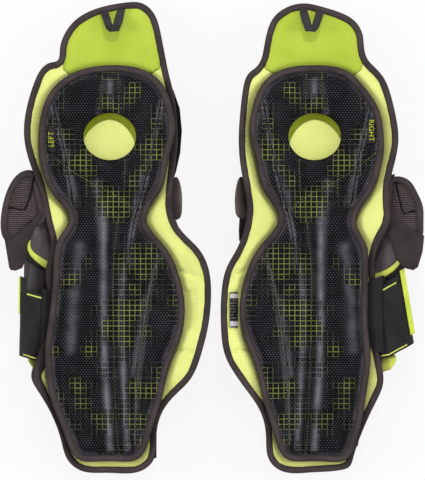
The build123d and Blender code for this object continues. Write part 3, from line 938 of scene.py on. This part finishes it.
def lime_mesh(name, light, dark, ribs):
    """Lime knitted fabric: fine ribs across the guard, small eyelets, faint soiling and slub."""
    m = Nodes(name)
    x, y, _, _ = cells(m, 0.0019, 0.0015)
    eye = from_centre(x, y).remap(0.14, 0.36)
    _, v, _ = m.split(m.uv)
    rib = v.wave(0.0028)
    slub = m.noise(900)
    base = m.mix(m.noise(22, 3.0).remap(0.3, 0.7), light, lighter(light, 12))
    shade = m.mix(slub.remap(0.3, 0.7), dark, lighter(dark, 14))
    color = m.mix(eye.remap(0.0, 1.0, 0.35, 1.0), shade, base)
    color = m.mix(rib.remap(-1.0, 1.0, 0.22 * ribs, 0.0), color, shade)
    height = eye * 0.5 + slub * 0.35 + rib * (0.5 * ribs)
    return m.finish(color, 0.85, height, 0.0004, 0.4, Sheen_Weight=0.08, Specular_IOR_Level=0.2)


def binding_tape():
    """Brown-black grosgrain tape with fine cross ribs, a painted highlight along its crown and a stitch line
    near its inner edge.
    """
    m = Nodes("dark_binding_tape")
    run, across, _ = m.split(m.uv)
    grain = m.noise(1300)
    tone = m.noise(35, 3.0)
    # Painted highlight: the tape is paler along its crown.
    crown = abs(across - 0.27).remap(0.02, 0.16, 1.0, 0.0)
    thread = (abs(across - 0.1) < 0.028) * ((run / 0.0036).do("FRACT") < 0.68)
    color = m.mix(tone.remap(0.3, 0.7), (36, 29, 30), (50, 41, 42))
    color = m.mix(crown * tone.remap(0.25, 0.7, 0.1, 0.6), color, (82, 70, 71))
    color = m.mix(grain.remap(0.35, 0.75) * 0.3, color, (92, 79, 78))
    color = m.mix(thread * 0.6, color, (28, 23, 24))
    height = run.wave(0.0009) * 0.25 + (grain + thread * -0.8)
    return m.finish(color, 0.75, height, 0.00025, 0.5, Sheen_Weight=0.06, Specular_IOR_Level=0.25)


def liner_cloth():
    """Near-black knit with pale pin dots, with a painted highlight on the raised folds and seam rims that
    lightens it and its dots.

    A thin lime grid with small dark squares in it comes and goes in patches, cell by cell, and single
    pale lines of it run on past them.
    """
    m = Nodes("liner_knit_fabric")
    x, y, _, _ = cells(m, 0.0033, 0.0024)
    dot = from_centre(x, y).remap(0.12, 0.24, 1.0, 0.0)
    raised = m.node("ShaderNodeAttribute", {}, "Fac", attribute_name="raised")
    broad = m.noise(60, 3.0)
    color = m.mix(broad.remap(0.35, 0.7), (7, 7, 9), (13, 12, 16))
    # Painted highlight: the knit and its dots are lighter on the raised folds and seam rims.
    color = m.mix(raised * broad.remap(0.3, 0.65, 0.45, 1.0), color, (112, 110, 117))
    color = m.mix(dot * (broad.remap(0.3, 0.7, 0.22, 0.46) + raised * 0.5), color, (138, 136, 148))

    x, y, column, row = cells(m, 0.0059, 0.0056, shift=False)
    x, y = abs(x), abs(y)
    spot_at = m.join(column, row, 3.0)
    spread = m.noise(0.19, 1.0, spot_at)
    patch = spread.remap(0.555, 0.68)
    around = spread.remap(0.47, 0.58)
    flicker = m.noise(0.55, 1.0, spot_at).remap(0.25, 0.6, 0.3, 1.0)
    upright = m.noise(0.9, 0.0, m.join(column, row * 0.16, 8.0)).remap(0.52, 0.66)
    flat = m.noise(0.9, 0.0, m.join(column * 0.16, row, 15.0)).remap(0.52, 0.66)
    stray = (x.remap(0.42, 0.47) * upright).do("MAXIMUM", y.remap(0.42, 0.47) * flat)
    side = x.do("MAXIMUM", y)
    color = m.mix(patch * 0.45, color, (40, 42, 34))
    color = m.mix(stray * (around * 0.6), color, (112, 116, 100))
    color = m.mix(side.remap(0.41, 0.47) * (patch * flicker) * 0.85, color, (150, 162, 76))
    ring = (side < 0.33) - (side < 0.13)
    color = m.mix(ring * (around * 0.9), color, (3, 3, 4))
    height = m.noise(1200) + dot * 0.6
    return m.finish(color, 0.5, height, 0.0003, 0.45, Sheen_Weight=0.0, Specular_IOR_Level=0.07)


def cloth(name, dark, light, pitch=0.0012, rough=0.8, depth=0.0003, ribs=0.5):
    """Plain woven or ribbed cloth between two tones."""
    m = Nodes(name)
    u, v, _ = m.split(m.uv)
    weave = u.wave(pitch) * v.wave(pitch)
    grain = m.noise(1400)
    color = m.mix(m.noise(40, 3.0).remap(0.3, 0.7), dark, light)
    color = m.mix(weave.remap(-0.2, 0.8) * (0.3 * ribs), color, light)
    color = m.mix(grain.remap(0.4, 0.8) * 0.35, color, light)
    return m.finish(color, rough, weave * ribs + grain, depth, 0.6, Sheen_Weight=0.05, Specular_IOR_Level=0.2)


def ribbed_mesh():
    """Stretch mesh with wavy ribs across it, dark between the ribs."""
    m = Nodes("ribbed_wing_mesh")
    u, v, _ = m.split(m.uv)
    bent = v + m.noise(150, 3.0, m.uv) * 0.0034
    knit = bent.wave(0.0021) + u.wave(0.0026) * 0.35
    color = m.mix(knit.remap(-0.8, 0.9), (34, 29, 30), (96, 85, 83))
    return m.finish(color, 0.85, knit, 0.0005, 0.6, Sheen_Weight=0.05, Specular_IOR_Level=0.2)


def sewn_label():
    """Dark woven label with a pale block at each end and fine pale bars between them."""
    m = Nodes("label_cloth")
    _, along, _ = m.split(m.generated)
    out = abs(along - 0.5)
    bars = ((along * 75.0).do("SINE") > 0.55) * (m.noise(420, 1.0) > 0.48)
    pale = ((out > 0.33) * (out < 0.46)).do("MAXIMUM", bars * 0.35)
    color = m.mix(pale, (26, 25, 27), (206, 204, 206))
    return m.finish(color, 0.6, m.noise(1500), 0.0001, 0.3, Specular_IOR_Level=0.3)


def moulded(name, dark, light, rough, grain=700, **extra):
    """Moulded plastic or metal with fine grain, faint flow marks and scuffs."""
    m = Nodes(name)
    scuff = m.noise(120, 5.0, rough=0.7).remap(0.62, 0.72)
    color = m.mix(m.noise(9, 3.0).remap(0.3, 0.7), dark, light)
    color = m.mix(scuff * 0.25, color, light)
    return m.finish(color, scuff * 0.15 + rough, m.noise(grain, 3.0), 0.0002, 0.4, **extra)


MATERIALS = {
    "lime": lime_mesh("lime_mesh_fabric", (235, 241, 142), (214, 222, 110), 0.7),
    # The flap's lime is a darker copy of the carrier's: painted shade for the flap that tilts away from the
    # light, with fainter ribs.
    "flap": lime_mesh("lime_flap_fabric_painted_shade", (176, 196, 62), (160, 180, 48), 0.25),
    "tab": cloth("pale_tab_cloth", (84, 73, 73), (108, 96, 95)),
    # A dark olive copy of the lime, for the hole's wall and the calf pillow's seams: painted shade.
    "facing": cloth("lime_wall_painted_shade", (116, 128, 14), (136, 148, 28), 0.0016),
    "tape": binding_tape(),
    "liner": liner_cloth(),
    "thread": cloth("pale_lime_thread", (126, 130, 84), (170, 174, 110), 0.0005),
    # Pale strips along the side channels' upper edges: a painted highlight.
    "painted_rim_highlight": cloth("channel_rim_painted_highlight", (66, 65, 70), (112, 111, 118), 0.0033, ribs=1.0),
    # Near-black strips in the seams' grooves: painted shade.
    "groove": cloth("black_seam_painted_shade", (4, 4, 5), (10, 9, 11), 0.0008, 0.9),
    "elastic": cloth("black_elastic_knit", (31, 30, 31), (44, 42, 44), 0.0016, 0.75, ribs=0.9),
    "trim": cloth("lime_trim_tape", (222, 236, 96), (240, 250, 124), 0.0011, 0.6),
    "hooks": cloth("lime_hook_tape", (196, 216, 60), (226, 240, 96), 0.0022, 0.6, depth=0.0006, ribs=1.0),
    "suede": cloth("grey_suede", (84, 77, 82), (112, 104, 109), 0.0009, 0.92, ribs=0.1),
    "wing": ribbed_mesh(),
    "wing_strap": cloth("broad_strap_cloth", (43, 37, 37), (58, 50, 50), 0.0015, 0.75, ribs=0.6),
    "webbing": cloth("black_webbing", (38, 36, 38), (58, 55, 57), 0.0014, 0.6, depth=0.0004, ribs=1.0),
    "foam": cloth("grey_foam", (60, 60, 64), (84, 84, 88), 0.0007, 0.95, ribs=0.1),
    "tag": cloth("tag_cloth", (30, 28, 30), (44, 42, 42), 0.0006, 0.5, ribs=0.3),
    "ink": cloth("tag_lettering", (176, 190, 52), (204, 216, 74), 0.0006, 0.6, ribs=0.2),
    "label": sewn_label(),
    "shell": moulded("dark_shell_plastic", (26, 24, 26), (42, 39, 41), 0.28),
    "guard": moulded("grey_guard_plastic", (58, 55, 58), (80, 76, 79), 0.42),
    "rivet": moulded("dark_rivet_metal", (90, 88, 88), (120, 118, 116), 0.3, 300, Metallic=0.9),
}


# ---------------------------------------------------------------- carrier, flap and liner
def make_carrier(name, side):
    """The lime pad, up to the line where the flap is sewn on."""
    plan, faces = fill(cut(moved_in(carrier_loops[side], PAD_MARGIN), -BEYOND, FLAP_LOW), PAD_GRID)
    return trough_slab(name, plan, faces, PAD_BACK, carrier_inset(plan, side))


def make_flap(name, side):
    """The thigh flap, its lower edge lapped over the carrier and tucked under the liner."""
    upper = moved_in(carrier_loops[side], PAD_MARGIN)
    upper = upper[upper[:, 1] > FLAP_LOW]
    start = int(np.argmax(np.linalg.norm(np.roll(upper, 1, axis=0) - upper, axis=1)))
    upper = np.roll(upper, -start, axis=0)
    lower = np.array(FLAP_FOOT)
    if upper[0, 0] > upper[-1, 0]:
        lower = lower[::-1]
    plan, faces = fill(dense(np.concatenate([upper, lower]), 3.0), PAD_GRID)
    return trough_slab(name, plan, faces, PAD_BACK, carrier_inset(plan, side) + FLAP_RISE)


def painted_highlight_share(plan, side):
    """The strength of the painted highlight at each plan point: 1 on the top of a fold or a seam's rim."""
    share = np.zeros(len(plan))
    for line, wide, high in FOLDS:
        share = np.maximum(share, high / TALLEST_FOLD * bump(distance(plan, line), wide * FOLD_CREST))
    beside, half = SEAM_RIM
    for line, strength in zip(seam_lines, SEAM_RIM_HIGHLIGHTS):
        share = np.maximum(share, strength * bump(distance(plan, line) - beside, half))
    within, strength, half = EDGE_RIM
    rim = distance(plan, moved_in(liner_loops[side], LINER_BINDING_WIDTH + within), True)
    return np.maximum(share, strength * bump(rim, half))


def make_liner(name, side):
    """The quilted liner, with the strength of its painted highlight kept as an attribute."""
    loop = moved_in(liner_loops[side], 4.0)
    plan, faces = fill(loop, LINER_GRID, [hole_loop], np.concatenate(fine_seams))
    obj = trough_slab(name, plan, faces, LINER_BACK, liner_inset(plan, side))
    tone = obj.data.attributes.new("raised", "FLOAT", "POINT")
    tone.data.foreach_set("value", np.tile(painted_highlight_share(plan, side), 2).astype(np.float32))
    return obj


def hole_turn(points):
    """The direction of each plan point from the knee hole's centre."""
    return np.arctan2(points[:, 1] - HOLE_CENTRE[1], points[:, 0] - HOLE_CENTRE[0])


def make_hole_facing(name, side):
    """The cloth that lines the hole's wall, drawn in towards its floor at the thigh end; its dark olive
    colour is painted shade.
    """
    upper = around_hole(96, HOLE_WALL_OUT)
    floor_line = curve(HOLE_FLOOR, 0.8)
    angle = hole_turn(floor_line)
    order = np.argsort(angle)
    reach = np.linalg.norm(floor_line - np.array(HOLE_CENTRE), axis=1)
    turns = hole_turn(upper)
    far = np.interp(turns, angle[order], reach[order], period=2 * math.pi)
    lower = np.array(HOLE_CENTRE) + np.stack([np.cos(turns), np.sin(turns)], axis=1) * far[:, None]
    z_top, z_floor = [trough_z(*ring.T, inset) for ring, inset in zip((upper, lower), HOLE_WALL_INSETS)]
    rings = []
    for k in range(HOLE_WALL_RINGS):
        t = k / (HOLE_WALL_RINGS - 1)
        plan = upper + (lower - upper) * ease(t * 0.9 + 0.05)
        rings.append(np.column_stack([plan, z_top + (z_floor - z_top) * t]))
    rings += [ring - (0, 0, HOLE_WALL_THICK) for ring in rings[::-1]]
    n, m = len(upper), len(rings)
    faces = []
    for k in range(m):
        for i in range(n):
            j, after = (i + 1) % n, (k + 1) % m
            faces.append((k * n + i, k * n + j, after * n + j, after * n + i))
    return closed_mesh(name, np.concatenate(rings), faces)


def make_body_tape(name, side):
    run = run_between(fine_guards[side], -BEYOND, FLAP_LOW + TAPE_LAP[side])
    low, high = map(level, CARRIER_TAPE_INSETS)
    return tape(name, run, BINDING_WIDTH + 0.6, low, high, False, wave=0.07, wider=WIDER_TAPE[side])


def make_flap_tape(name, side):
    run = run_between(fine_guards[side], FLAP_LOW - TAPE_LAP[side], BEYOND)
    low, high = map(level, CARRIER_TAPE_INSETS)
    return tape(name, run, BINDING_WIDTH + 0.8, low, high, False, 1.6, 0.07, 3)


def make_liner_tape(name, side):
    low, high = map(level, LINER_TAPE_INSETS)
    return tape(name, fine_liners[side], LINER_BINDING_WIDTH + 0.4, low, high, wave=0.08, seed=7)


def make_calf_seam_shadows(name, side):
    """Dark olive lines at the two ends of the carrier's calf pillow: painted shade in its sunk seams."""
    lines = [[(78, -35), (90, -39.4), CALF_PILLOW_FAR[side]], [(70, -118.5), (84, -122), (95, -126.6)]]
    lines = [curve(points, 1.6, False) for points in lines]
    return strip(name, lines, 0.55, face(carrier_inset, side), 0.35)


def make_seam_grooves(name, side):
    # Near-black strips in the liner's seams: painted shade in the grooves.
    return strip(name, fine_seams, 0.9, face(liner_inset, side), 0.35)


def make_seam_highlights(name, side):
    """Painted highlights: pale strips along the upper edges of the side channels."""
    lines = [fine_seams[k] + np.array((shift, 0)) for k, shift in HIGHLIGHT_EDGES]
    return strip(name, lines, 0.75, face(liner_inset, side), 0.45)


def make_stitching(name, side):
    """The liner's visible stitches: all seams but the two side channels, and the top patch."""
    lines = seam_lines[:3] + seam_lines[5:] + [np.array(TOP_PATCH + TOP_PATCH[:1], float)]
    return stitches(name, lines, face(liner_inset, side))


# ---------------------------------------------------------------- knee wing
def make_wing(name, side):
    """The wing's pad, with a sunk seam round the window in its upper corner."""
    loop = wing_loops[side]
    plan, faces = fill(moved_in(loop, 3.8), 1.3)
    edge = distance(plan, moved_in(loop, WING_BINDING), True)
    seam = distance(plan, WING_SEAMS[side])
    window = np.array(WING_SEAMS[side] + WINDOW_CORNERS[side])
    step = np.where(inside(plan, window), *WINDOW_STEPS)
    from_seam, from_edge = WINDOW_REACHES
    crown = swell(edge, *WING_SWELL) + step * ease(seam / from_seam) * ease(edge / from_edge)
    crown -= dip(seam, *WING_SEAM_DIP)
    return slab(name, plan, faces, wing_low(*plan.T), wing_high(*plan.T) + crown)


def make_wing_tape(name, side):
    return tape(name, wing_loops[side], WING_BINDING + 0.3, wing_low, wing_high, wave=0.06, seed=11)


def make_wing_line(name, side):
    """The sunk seam round the wing's window, drawn as a near-black strip of painted shade."""
    line = curve(WING_SEAMS[side], 1.2, False)
    return strip(name, [line], 1.2, lambda x, y: wing_high(x, y) + 1.6, 0.9)


def make_hinge_strip(name, side):
    """The tape that sews the wing to the rim, lying under both."""
    plan, faces = fill(dense(HINGE_STRIP, 2.0), 2.0)
    base = wing_low(*plan.T)
    return slab(name, plan, faces, *[base - drop for drop in HINGE_STRIP_DROPS])


def make_wing_strap(name, side):
    """The broad strap over the wing, rolled at its edges and gently rippled."""
    loop = dense(WING_STRAP_EDGES[side], 1.8)
    plan, faces = fill(loop, 2.0)
    base = wing_high(*plan.T) + WING_STRAP_LIFT
    foot_y, *foot = WING_STRAP_FOOT
    roll = swell(distance(plan, loop, True), *WING_STRAP_ROLL) + swell(foot_y - plan[:, 1], *foot)
    high, pace = WING_STRAP_RIPPLE
    ripple = np.array([noise.noise((x * pace, y * pace, 5.0)) for x, y in plan]) * high
    return slab(name, plan, faces, base, base + WING_STRAP_THICK + roll + ripple)


# ---------------------------------------------------------------- calf strap
def ribbon(name, side, path, start, stop, thick, wave=0.0, seed=0.0):
    """A flat band following a section path (out, height) along the strap's root line."""
    lean, draw, _, _ = STRAP_LIE[side]
    fine = curve(path, 1.2, False)
    normal = sideways(fine)
    run = run_along(fine)
    rows, m = int(round((stop - start) / 2.5)) + 1, len(fine)
    along = np.linspace(start, stop, rows)
    verts = []
    for face_side in (1, -1):
        for a in along:
            shrink = 1 - draw * (STRAP_TOP - a) / STRAP_LENGTH
            shift = np.array([noise.noise((r * 0.05, a * 0.03, seed)) for r in run]) * wave
            for o, h in fine + normal * (face_side * thick / 2 + shift)[:, None]:
                turn = a + lean * max(o, 0)
                verts.append(STRAP_HINGE + STRAP_OUT * o * shrink + STRAP_AXIS * turn + np.array((0, 0, h)))
    faces = []
    n = rows * m
    for i in range(rows - 1):
        for k in range(m - 1):
            a = i * m + k
            faces.append((a, a + 1, a + m + 1, a + m))
            faces.append((n + a, n + a + m, n + a + m + 1, n + a + 1))
    rim = [i * m for i in range(rows)] + [(rows - 1) * m + k for k in range(1, m)]
    rim += [i * m + m - 1 for i in range(rows - 2, -1, -1)] + list(range(m - 2, 0, -1))
    for a, b in zip(rim, rim[1:] + rim[:1]):
        faces.append((a, b, b + n, a + n))
    uv = np.array([(along[i // m] * MM, run[i % m] * MM) for i in range(n)] * 2)
    return closed_mesh(name, verts, faces, uv)


def make_strap_root(name, side):
    """The strap's root, wrapped over the rim and tucked under the liner's edge."""
    plan, faces = fill(dense(STRAP_ROOTS[side], 2.0), 2.0)
    x, y = plan.T
    inner, fall = ROOT_INSETS
    start, reach = ROOT_TURN
    top = trough_z(x, y, inner - swell(start - x, fall, reach))
    return slab(name, plan, faces, top - ROOT_THICK, top)


def band(path, start, stop, thick, **ripple):
    """A maker of one band of the strap; start and stop are (which end of the strap, how far past it)."""
    def make(name, side):
        ends = STRAP_LIE[side][2:]
        return ribbon(name, side, path, ends[start[0]] + start[1], ends[stop[0]] + stop[1], thick, **ripple)
    return make


def make_strap_tip(name, side):
    """The strap's curled outer corner."""
    return band(TIP_PATH, (UPPER, -4), (UPPER, STRAP_TIP_RISE[side]), 1.8)(name, side)


def make_hook_tab(name, side):
    """The hook-faced tab at the strap's end."""
    return ribbon(name, side, *HOOK_TABS[side], 1.4)


# ---------------------------------------------------------------- flat pieces on the trough
def flat_piece(edges, low, high, spacing=2.5, smooth=False):
    """A maker of thin sheets that lie on the trough between two insets."""
    def make(name, side):
        loop = curve(edges[side], spacing) if smooth else dense(edges[side], spacing)
        plan, faces = fill(loop, spacing)
        rise = swell(distance(plan, loop, True), *FLAT_SWELL)
        return trough_slab(name, plan, faces, low, high + rise)
    return make


def stripe_frame(side):
    """The stripe's line, its half width at each point and the direction across it."""
    line = curve(STRIPE_LINES[side], 1.5, False)
    half = curve(list(zip(STRIPE_HALF, range(len(STRIPE_HALF)))), 0.1, False)[:, 0]
    half = np.interp(np.linspace(0, 1, len(line)), np.linspace(0, 1, len(half)), half)
    return line, half[:, None], sideways(line)


def make_stripe(name, side):
    """Curved piping along the lower edge of the suede panel."""
    line, half, across = stripe_frame(side)
    loop = np.concatenate([line + across * half, (line - across * half)[::-1]])
    plan, faces = fill(loop, 1.3)
    rise = swell(distance(plan, loop, True), *STRIPE_SWELL)
    return trough_slab(name, plan, faces, -3.4, -1.9 + rise)


def make_stripe_shadow(name, side):
    """A black band beside the stripe on its outer side: painted shadow under the stripe."""
    line, half, across = stripe_frame(side)
    reach = np.interp(np.linspace(0, 1, len(line)), [0, 0.35, 0.6, 1], [2.0, 6.5, 4.5, 1.8])[:, None]
    loop = np.concatenate([line + across * half * 0.5, (line - across * (half + reach))[::-1]])
    return trough_slab(name, *fill(loop, 2.0), -4.4, -3.3)


def make_foam(name, side):
    return trough_slab(name, *fill(curve(FOAM_EDGE, 5.0), 7.0), -5.2, -1.3)


# ---------------------------------------------------------------- pull loop and side tag
def make_loop(name, side):
    """Webbing folded into a V that stands off the flap, one leg lying over the other at the fold."""
    verts, faces = np.zeros((0, 3)), []
    start, reach = LOOP_TURN
    for leg, lift in zip(LOOP_LEGS, (0.0, LOOP_LAP)):
        plan, tris = fill(dense(leg, 1.5), 1.6)
        x, y = plan.T
        base = trough_z(x, y, LOOP_INSET) + lift + swell(start - y, LOOP_STAND, reach)
        points, polys = sheet(plan, tris, base, base + LOOP_THICK)
        faces += [tuple(len(verts) + i for i in f) for f in polys]
        verts = np.concatenate([verts, points])
    return closed_mesh(name, verts, faces)


def make_tag(name, side):
    x, y, wide, long = TAGS[side]
    corners = [(x + a * wide / 2, y + b * long / 2) for a, b in ((-1, -1), (1, -1), (1, 1), (-1, 1))]
    plan, faces = fill(dense(corners, 2.0), 2.0)
    base = face(liner_inset, side)(*plan.T)
    return slab(name, plan, faces, *[base + height for height in TAG_HEIGHTS])


def make_letters(name, side):
    """The side's word on its tag, read along the guard."""
    text = bpy.data.curves.new(name, "FONT")
    text.body = side.upper()
    text.size = LETTER_SIZE
    text.align_x, text.align_y = "CENTER", "CENTER"
    text.resolution_u = 2
    maker = bpy.data.objects.new(name, text)
    bpy.context.collection.objects.link(maker)
    bpy.context.view_layer.update()
    flat = bpy.data.meshes.new_from_object(maker)
    bpy.data.objects.remove(maker)
    words = np.array([v.co[:2] for v in flat.vertices])
    faces = np.array([f.vertices for f in flat.polygons if len(f.vertices) == 3])
    turn = 1 if side == "left" else -1
    x, y, _, _ = TAGS[side]
    plan = np.column_stack([x - words[:, 1], y + turn * words[:, 0]])
    base = face(liner_inset, side)(*plan.T)
    return slab(name, plan, faces, *[base + height for height in LETTER_HEIGHTS])


# ---------------------------------------------------------------- all the pieces
# Each piece's maker, material and slot, the body or the bend that it follows, and the CAD pieces it
# stands for.
PIECES = {
    "carrier_padding": (
        make_carrier, "lime", "lime_mesh", "waist", "shin_carrier", "waist_panel", "knee_carrier",
    ),
    "thigh_flap": (make_flap, "flap", "lime_mesh", "flap root", "flap_root", "top_flap"),
    "quilted_liner": (make_liner, "liner", "liner_fabric", "waist", "liner"),
    "knee_hole_facing": (make_hole_facing, "facing", "lime_mesh", "knee"),
    "carrier_binding_tape": (
        make_body_tape, "tape", "dark_binding", "waist", "shin_binding", "waist_binding", "knee_binding",
    ),
    "flap_binding_tape": (
        make_flap_tape, "tape", "dark_binding", "flap root", "flap_root_binding", "flap_binding",
    ),
    "liner_binding_tape": (make_liner_tape, "tape", "dark_binding", "waist", "liner_binding"),
    "calf_pillow_seams": (make_calf_seam_shadows, "facing", "lime_mesh", "shin"),
    "liner_seam_grooves": (make_seam_grooves, "groove", "liner_fabric", "waist"),
    "liner_seam_ridges": (make_seam_highlights, "painted_rim_highlight", "liner_fabric", "waist"),
    "liner_stitching": (make_stitching, "thread", "lime_trim", "waist"),
    "knee_wing_pad": (make_wing, "wing", "wing_mesh", "wing", "wing_pad"),
    "knee_wing_tape": (make_wing_tape, "tape", "dark_binding", "wing", "wing_binding"),
    "knee_wing_seam": (make_wing_line, "groove", "dark_binding", "wing"),
    "wing_hinge_tape": (make_hinge_strip, "wing_strap", "dark_binding", "wing"),
    "calf_strap_root": (make_strap_root, "elastic", "black_elastic", "shin"),
    "calf_strap_tip": (make_strap_tip, "elastic", "black_elastic", "strap"),
    "calf_strap_band": (
        band(STRAP_PATH, (LOWER, 0), (UPPER, 0), 2.0, wave=0.5, seed=2),
        "elastic", "black_elastic", "strap root", "calf_strap",
    ),
    "calf_strap_line_upper": (
        band(PIPING_PATH, (UPPER, -4.4), (UPPER, -2.8), 0.8),
        "trim", "lime_trim", "strap root", "strap_piping_upper",
    ),
    "calf_strap_line_lower": (
        band(PIPING_PATH, (LOWER, 2.0), (LOWER, 3.4), 0.8),
        "trim", "lime_trim", "strap root", "strap_piping_lower",
    ),
    "calf_strap_end_tab": (make_hook_tab, "hooks", "lime_trim", "strap", "hook_tab"),
    "broad_wing_strap": (make_wing_strap, "wing_strap", "dark_binding", "wing", "wing_strap"),
    "calf_suede_panel": (flat_piece(PANEL_EDGES, -3.4, -1.8), "suede", "grey_suede", "shin", "calf_panel"),
    "calf_lime_stripe": (make_stripe, "trim", "lime_trim", "shin", "calf_stripe"),
    "calf_panel_edge": (make_stripe_shadow, "elastic", "black_elastic", "shin"),
    "calf_lower_stripe": (flat_piece(LOWER_STRIPES, -3.4, -2.0), "trim", "lime_trim", "shin"),
    "medial_fabric_tab": (
        flat_piece(TAB_EDGES, -3.4, -1.4, 2.0, True), "tab", "dark_binding", "knee", "medial_tab",
    ),
    "medial_elastic_link": (
        flat_piece(LINK_EDGES, -2.9, -1.9, 2.0), "elastic", "black_elastic", "waist", "medial_link",
    ),
    "knee_cap_foam": (make_foam, "foam", "pad_foam", "knee", "knee_foam"),
    "flap_pull_loop": (make_loop, "webbing", "webbing", "loop", "pull_loop"),
    "side_tag": (make_tag, "tag", "label_fabric", "knee"),
    "side_tag_letters": (make_letters, "ink", "lime_trim", "knee"),
}
# The CAD pieces that show: how their names end, and their material and slot.
CAD_LOOKS = {
    "knee_cap": ("shell", "shell_plastic"), "shin_shell": ("shell", "shell_plastic"),
    "calf_guard": ("guard", "guard_plastic"), "rivets": ("rivet", "rivet_metal"),
    "calf_label": ("label", "label_fabric"),
}
# The bends that pieces lie over: two bodies, and the y in metres where the bend starts and ends.
BENDS = {"waist": ("shin", "knee", 0.010, 0.048), "flap root": ("knee", "flap", 0.1905, 0.2045)}
# The strap bends between these distances out from its hinge, in mm.
STRAP_BEND = (-4.0, 4.0)


def dress(obj, material, slot):
    obj.data.materials.clear()
    obj.data.materials.append(MATERIALS[material])


def follow(obj, side, what):
    """Let a piece ride on one body; a piece on one of the guard's bends or at the strap's root only has its
    place baked into its mesh.
    """
    if what in BENDS:
        x = side_x(side, 0)
        first, second, start, end = BENDS[what]
        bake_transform(obj)
    elif what == "strap root":
        ends = [STRAP_HINGE + STRAP_OUT * out for out in STRAP_BEND]
        ends = [(side_x(side, x), y * MM, z * MM) for x, y, z in ends]
        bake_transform(obj)
    else:
        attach(obj, side + "_" + what)


made = {}
for piece, (make, *_) in PIECES.items():
    for side in SIDES:
        made[side, piece] = make(side + "_" + piece, side)
        place(made[side, piece], side)
for piece, (_, material, slot, followed, *nodes) in PIECES.items():
    for side in SIDES:
        dress(made[side, piece], material, slot)
        follow(made[side, piece], side, followed)
        if nodes:
            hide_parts(*[side + "_" + node for node in nodes])
for name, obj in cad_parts.items():
    for ending, look in CAD_LOOKS.items():
        if name.endswith(ending):
            dress(obj, *look)


# ---------------------------------------------------------------- floor, light and camera
def studio_paper():
    """Paper that looks white to the camera and in reflections, and keeps a share of the shadow."""
    m = Nodes("studio_paper")
    ray = m.node("ShaderNodeLightPath", {}).socket.node.outputs
    camera_ray, glossy_ray, through_ray = [
        Signal(m, ray[kind]) for kind in ("Is Camera Ray", "Is Glossy Ray", "Is Transmission Ray")
    ]
    seen = m.node("ShaderNodeMath", {0: camera_ray + glossy_ray, 1: through_ray}, use_clamp=True)
    white = m.node("ShaderNodeEmission", {"Color": srgb(254, 254, 254)})
    matt = m.node("ShaderNodeBsdfDiffuse", {"Color": (0.8, 0.8, 0.8, 1)})
    surface = m.node("ShaderNodeMixShader", {0: seen * 0.88, 1: matt, 2: white})
    m.put(surface, m.tree.nodes["Material Output"].inputs["Surface"])
    return m.material


floor_mesh = bpy.data.meshes.new("studio_floor")
floor_mesh.from_pydata([(-6, -6, 0), (6, -6, 0), (6, 6, 0), (-6, 6, 0)], [], [(0, 1, 2, 3)])
floor_mesh.materials.append(studio_paper())
floor = bpy.data.objects.new("studio_floor", floor_mesh)
bpy.context.collection.objects.link(floor)
floor.location.z = -0.0005

scene = bpy.context.scene
scene.view_settings.view_transform = "Standard"
world = bpy.data.worlds.new("studio")
world.use_nodes = True
background = world.node_tree.nodes["Background"].inputs
background["Color"].default_value = (1, 1, 1, 1)
background["Strength"].default_value = 0.7
scene.world = world


def area_light(name, at, size, power):
    """A lamp in metres and watts that shines on the middle of the floor."""
    light = bpy.data.lights.new(name, "AREA")
    light.shape = "RECTANGLE"
    light.size, light.size_y = size
    light.energy = power
    obj = bpy.data.objects.new(name, light)
    bpy.context.collection.objects.link(obj)
    obj.location = at
    obj.rotation_euler = (-Vector(at)).to_track_quat("-Z", "Y").to_euler()


area_light("key_from_thigh_end", (0.25, 1.9, 2.6), (0.5, 0.4), 29)
area_light("fill_left", (-2.5, 0.3, 1.4), (0.8, 1.2), 22)
area_light("fill_right", (2.5, 0.3, 1.4), (0.8, 1.2), 20)

# The camera looks straight down, a little off the middle. The plane fills the picture's 480 rows.
CAMERA_DISTANCE = 6.0
PLANE = 0.04
PHOTO_HEIGHT = 480 * 1.08 * MM
SENSOR = 24
camera_data = bpy.data.cameras.new("camera")
camera_data.sensor_fit = "VERTICAL"
camera_data.sensor_height = SENSOR
camera_data.lens = SENSOR * CAMERA_DISTANCE / PHOTO_HEIGHT
camera = bpy.data.objects.new("camera", camera_data)
bpy.context.collection.objects.link(camera)
camera.location = (0.0003, -0.0022, PLANE + CAMERA_DISTANCE)
camera.rotation_euler = (0, 0, 0)
scene.camera = camera
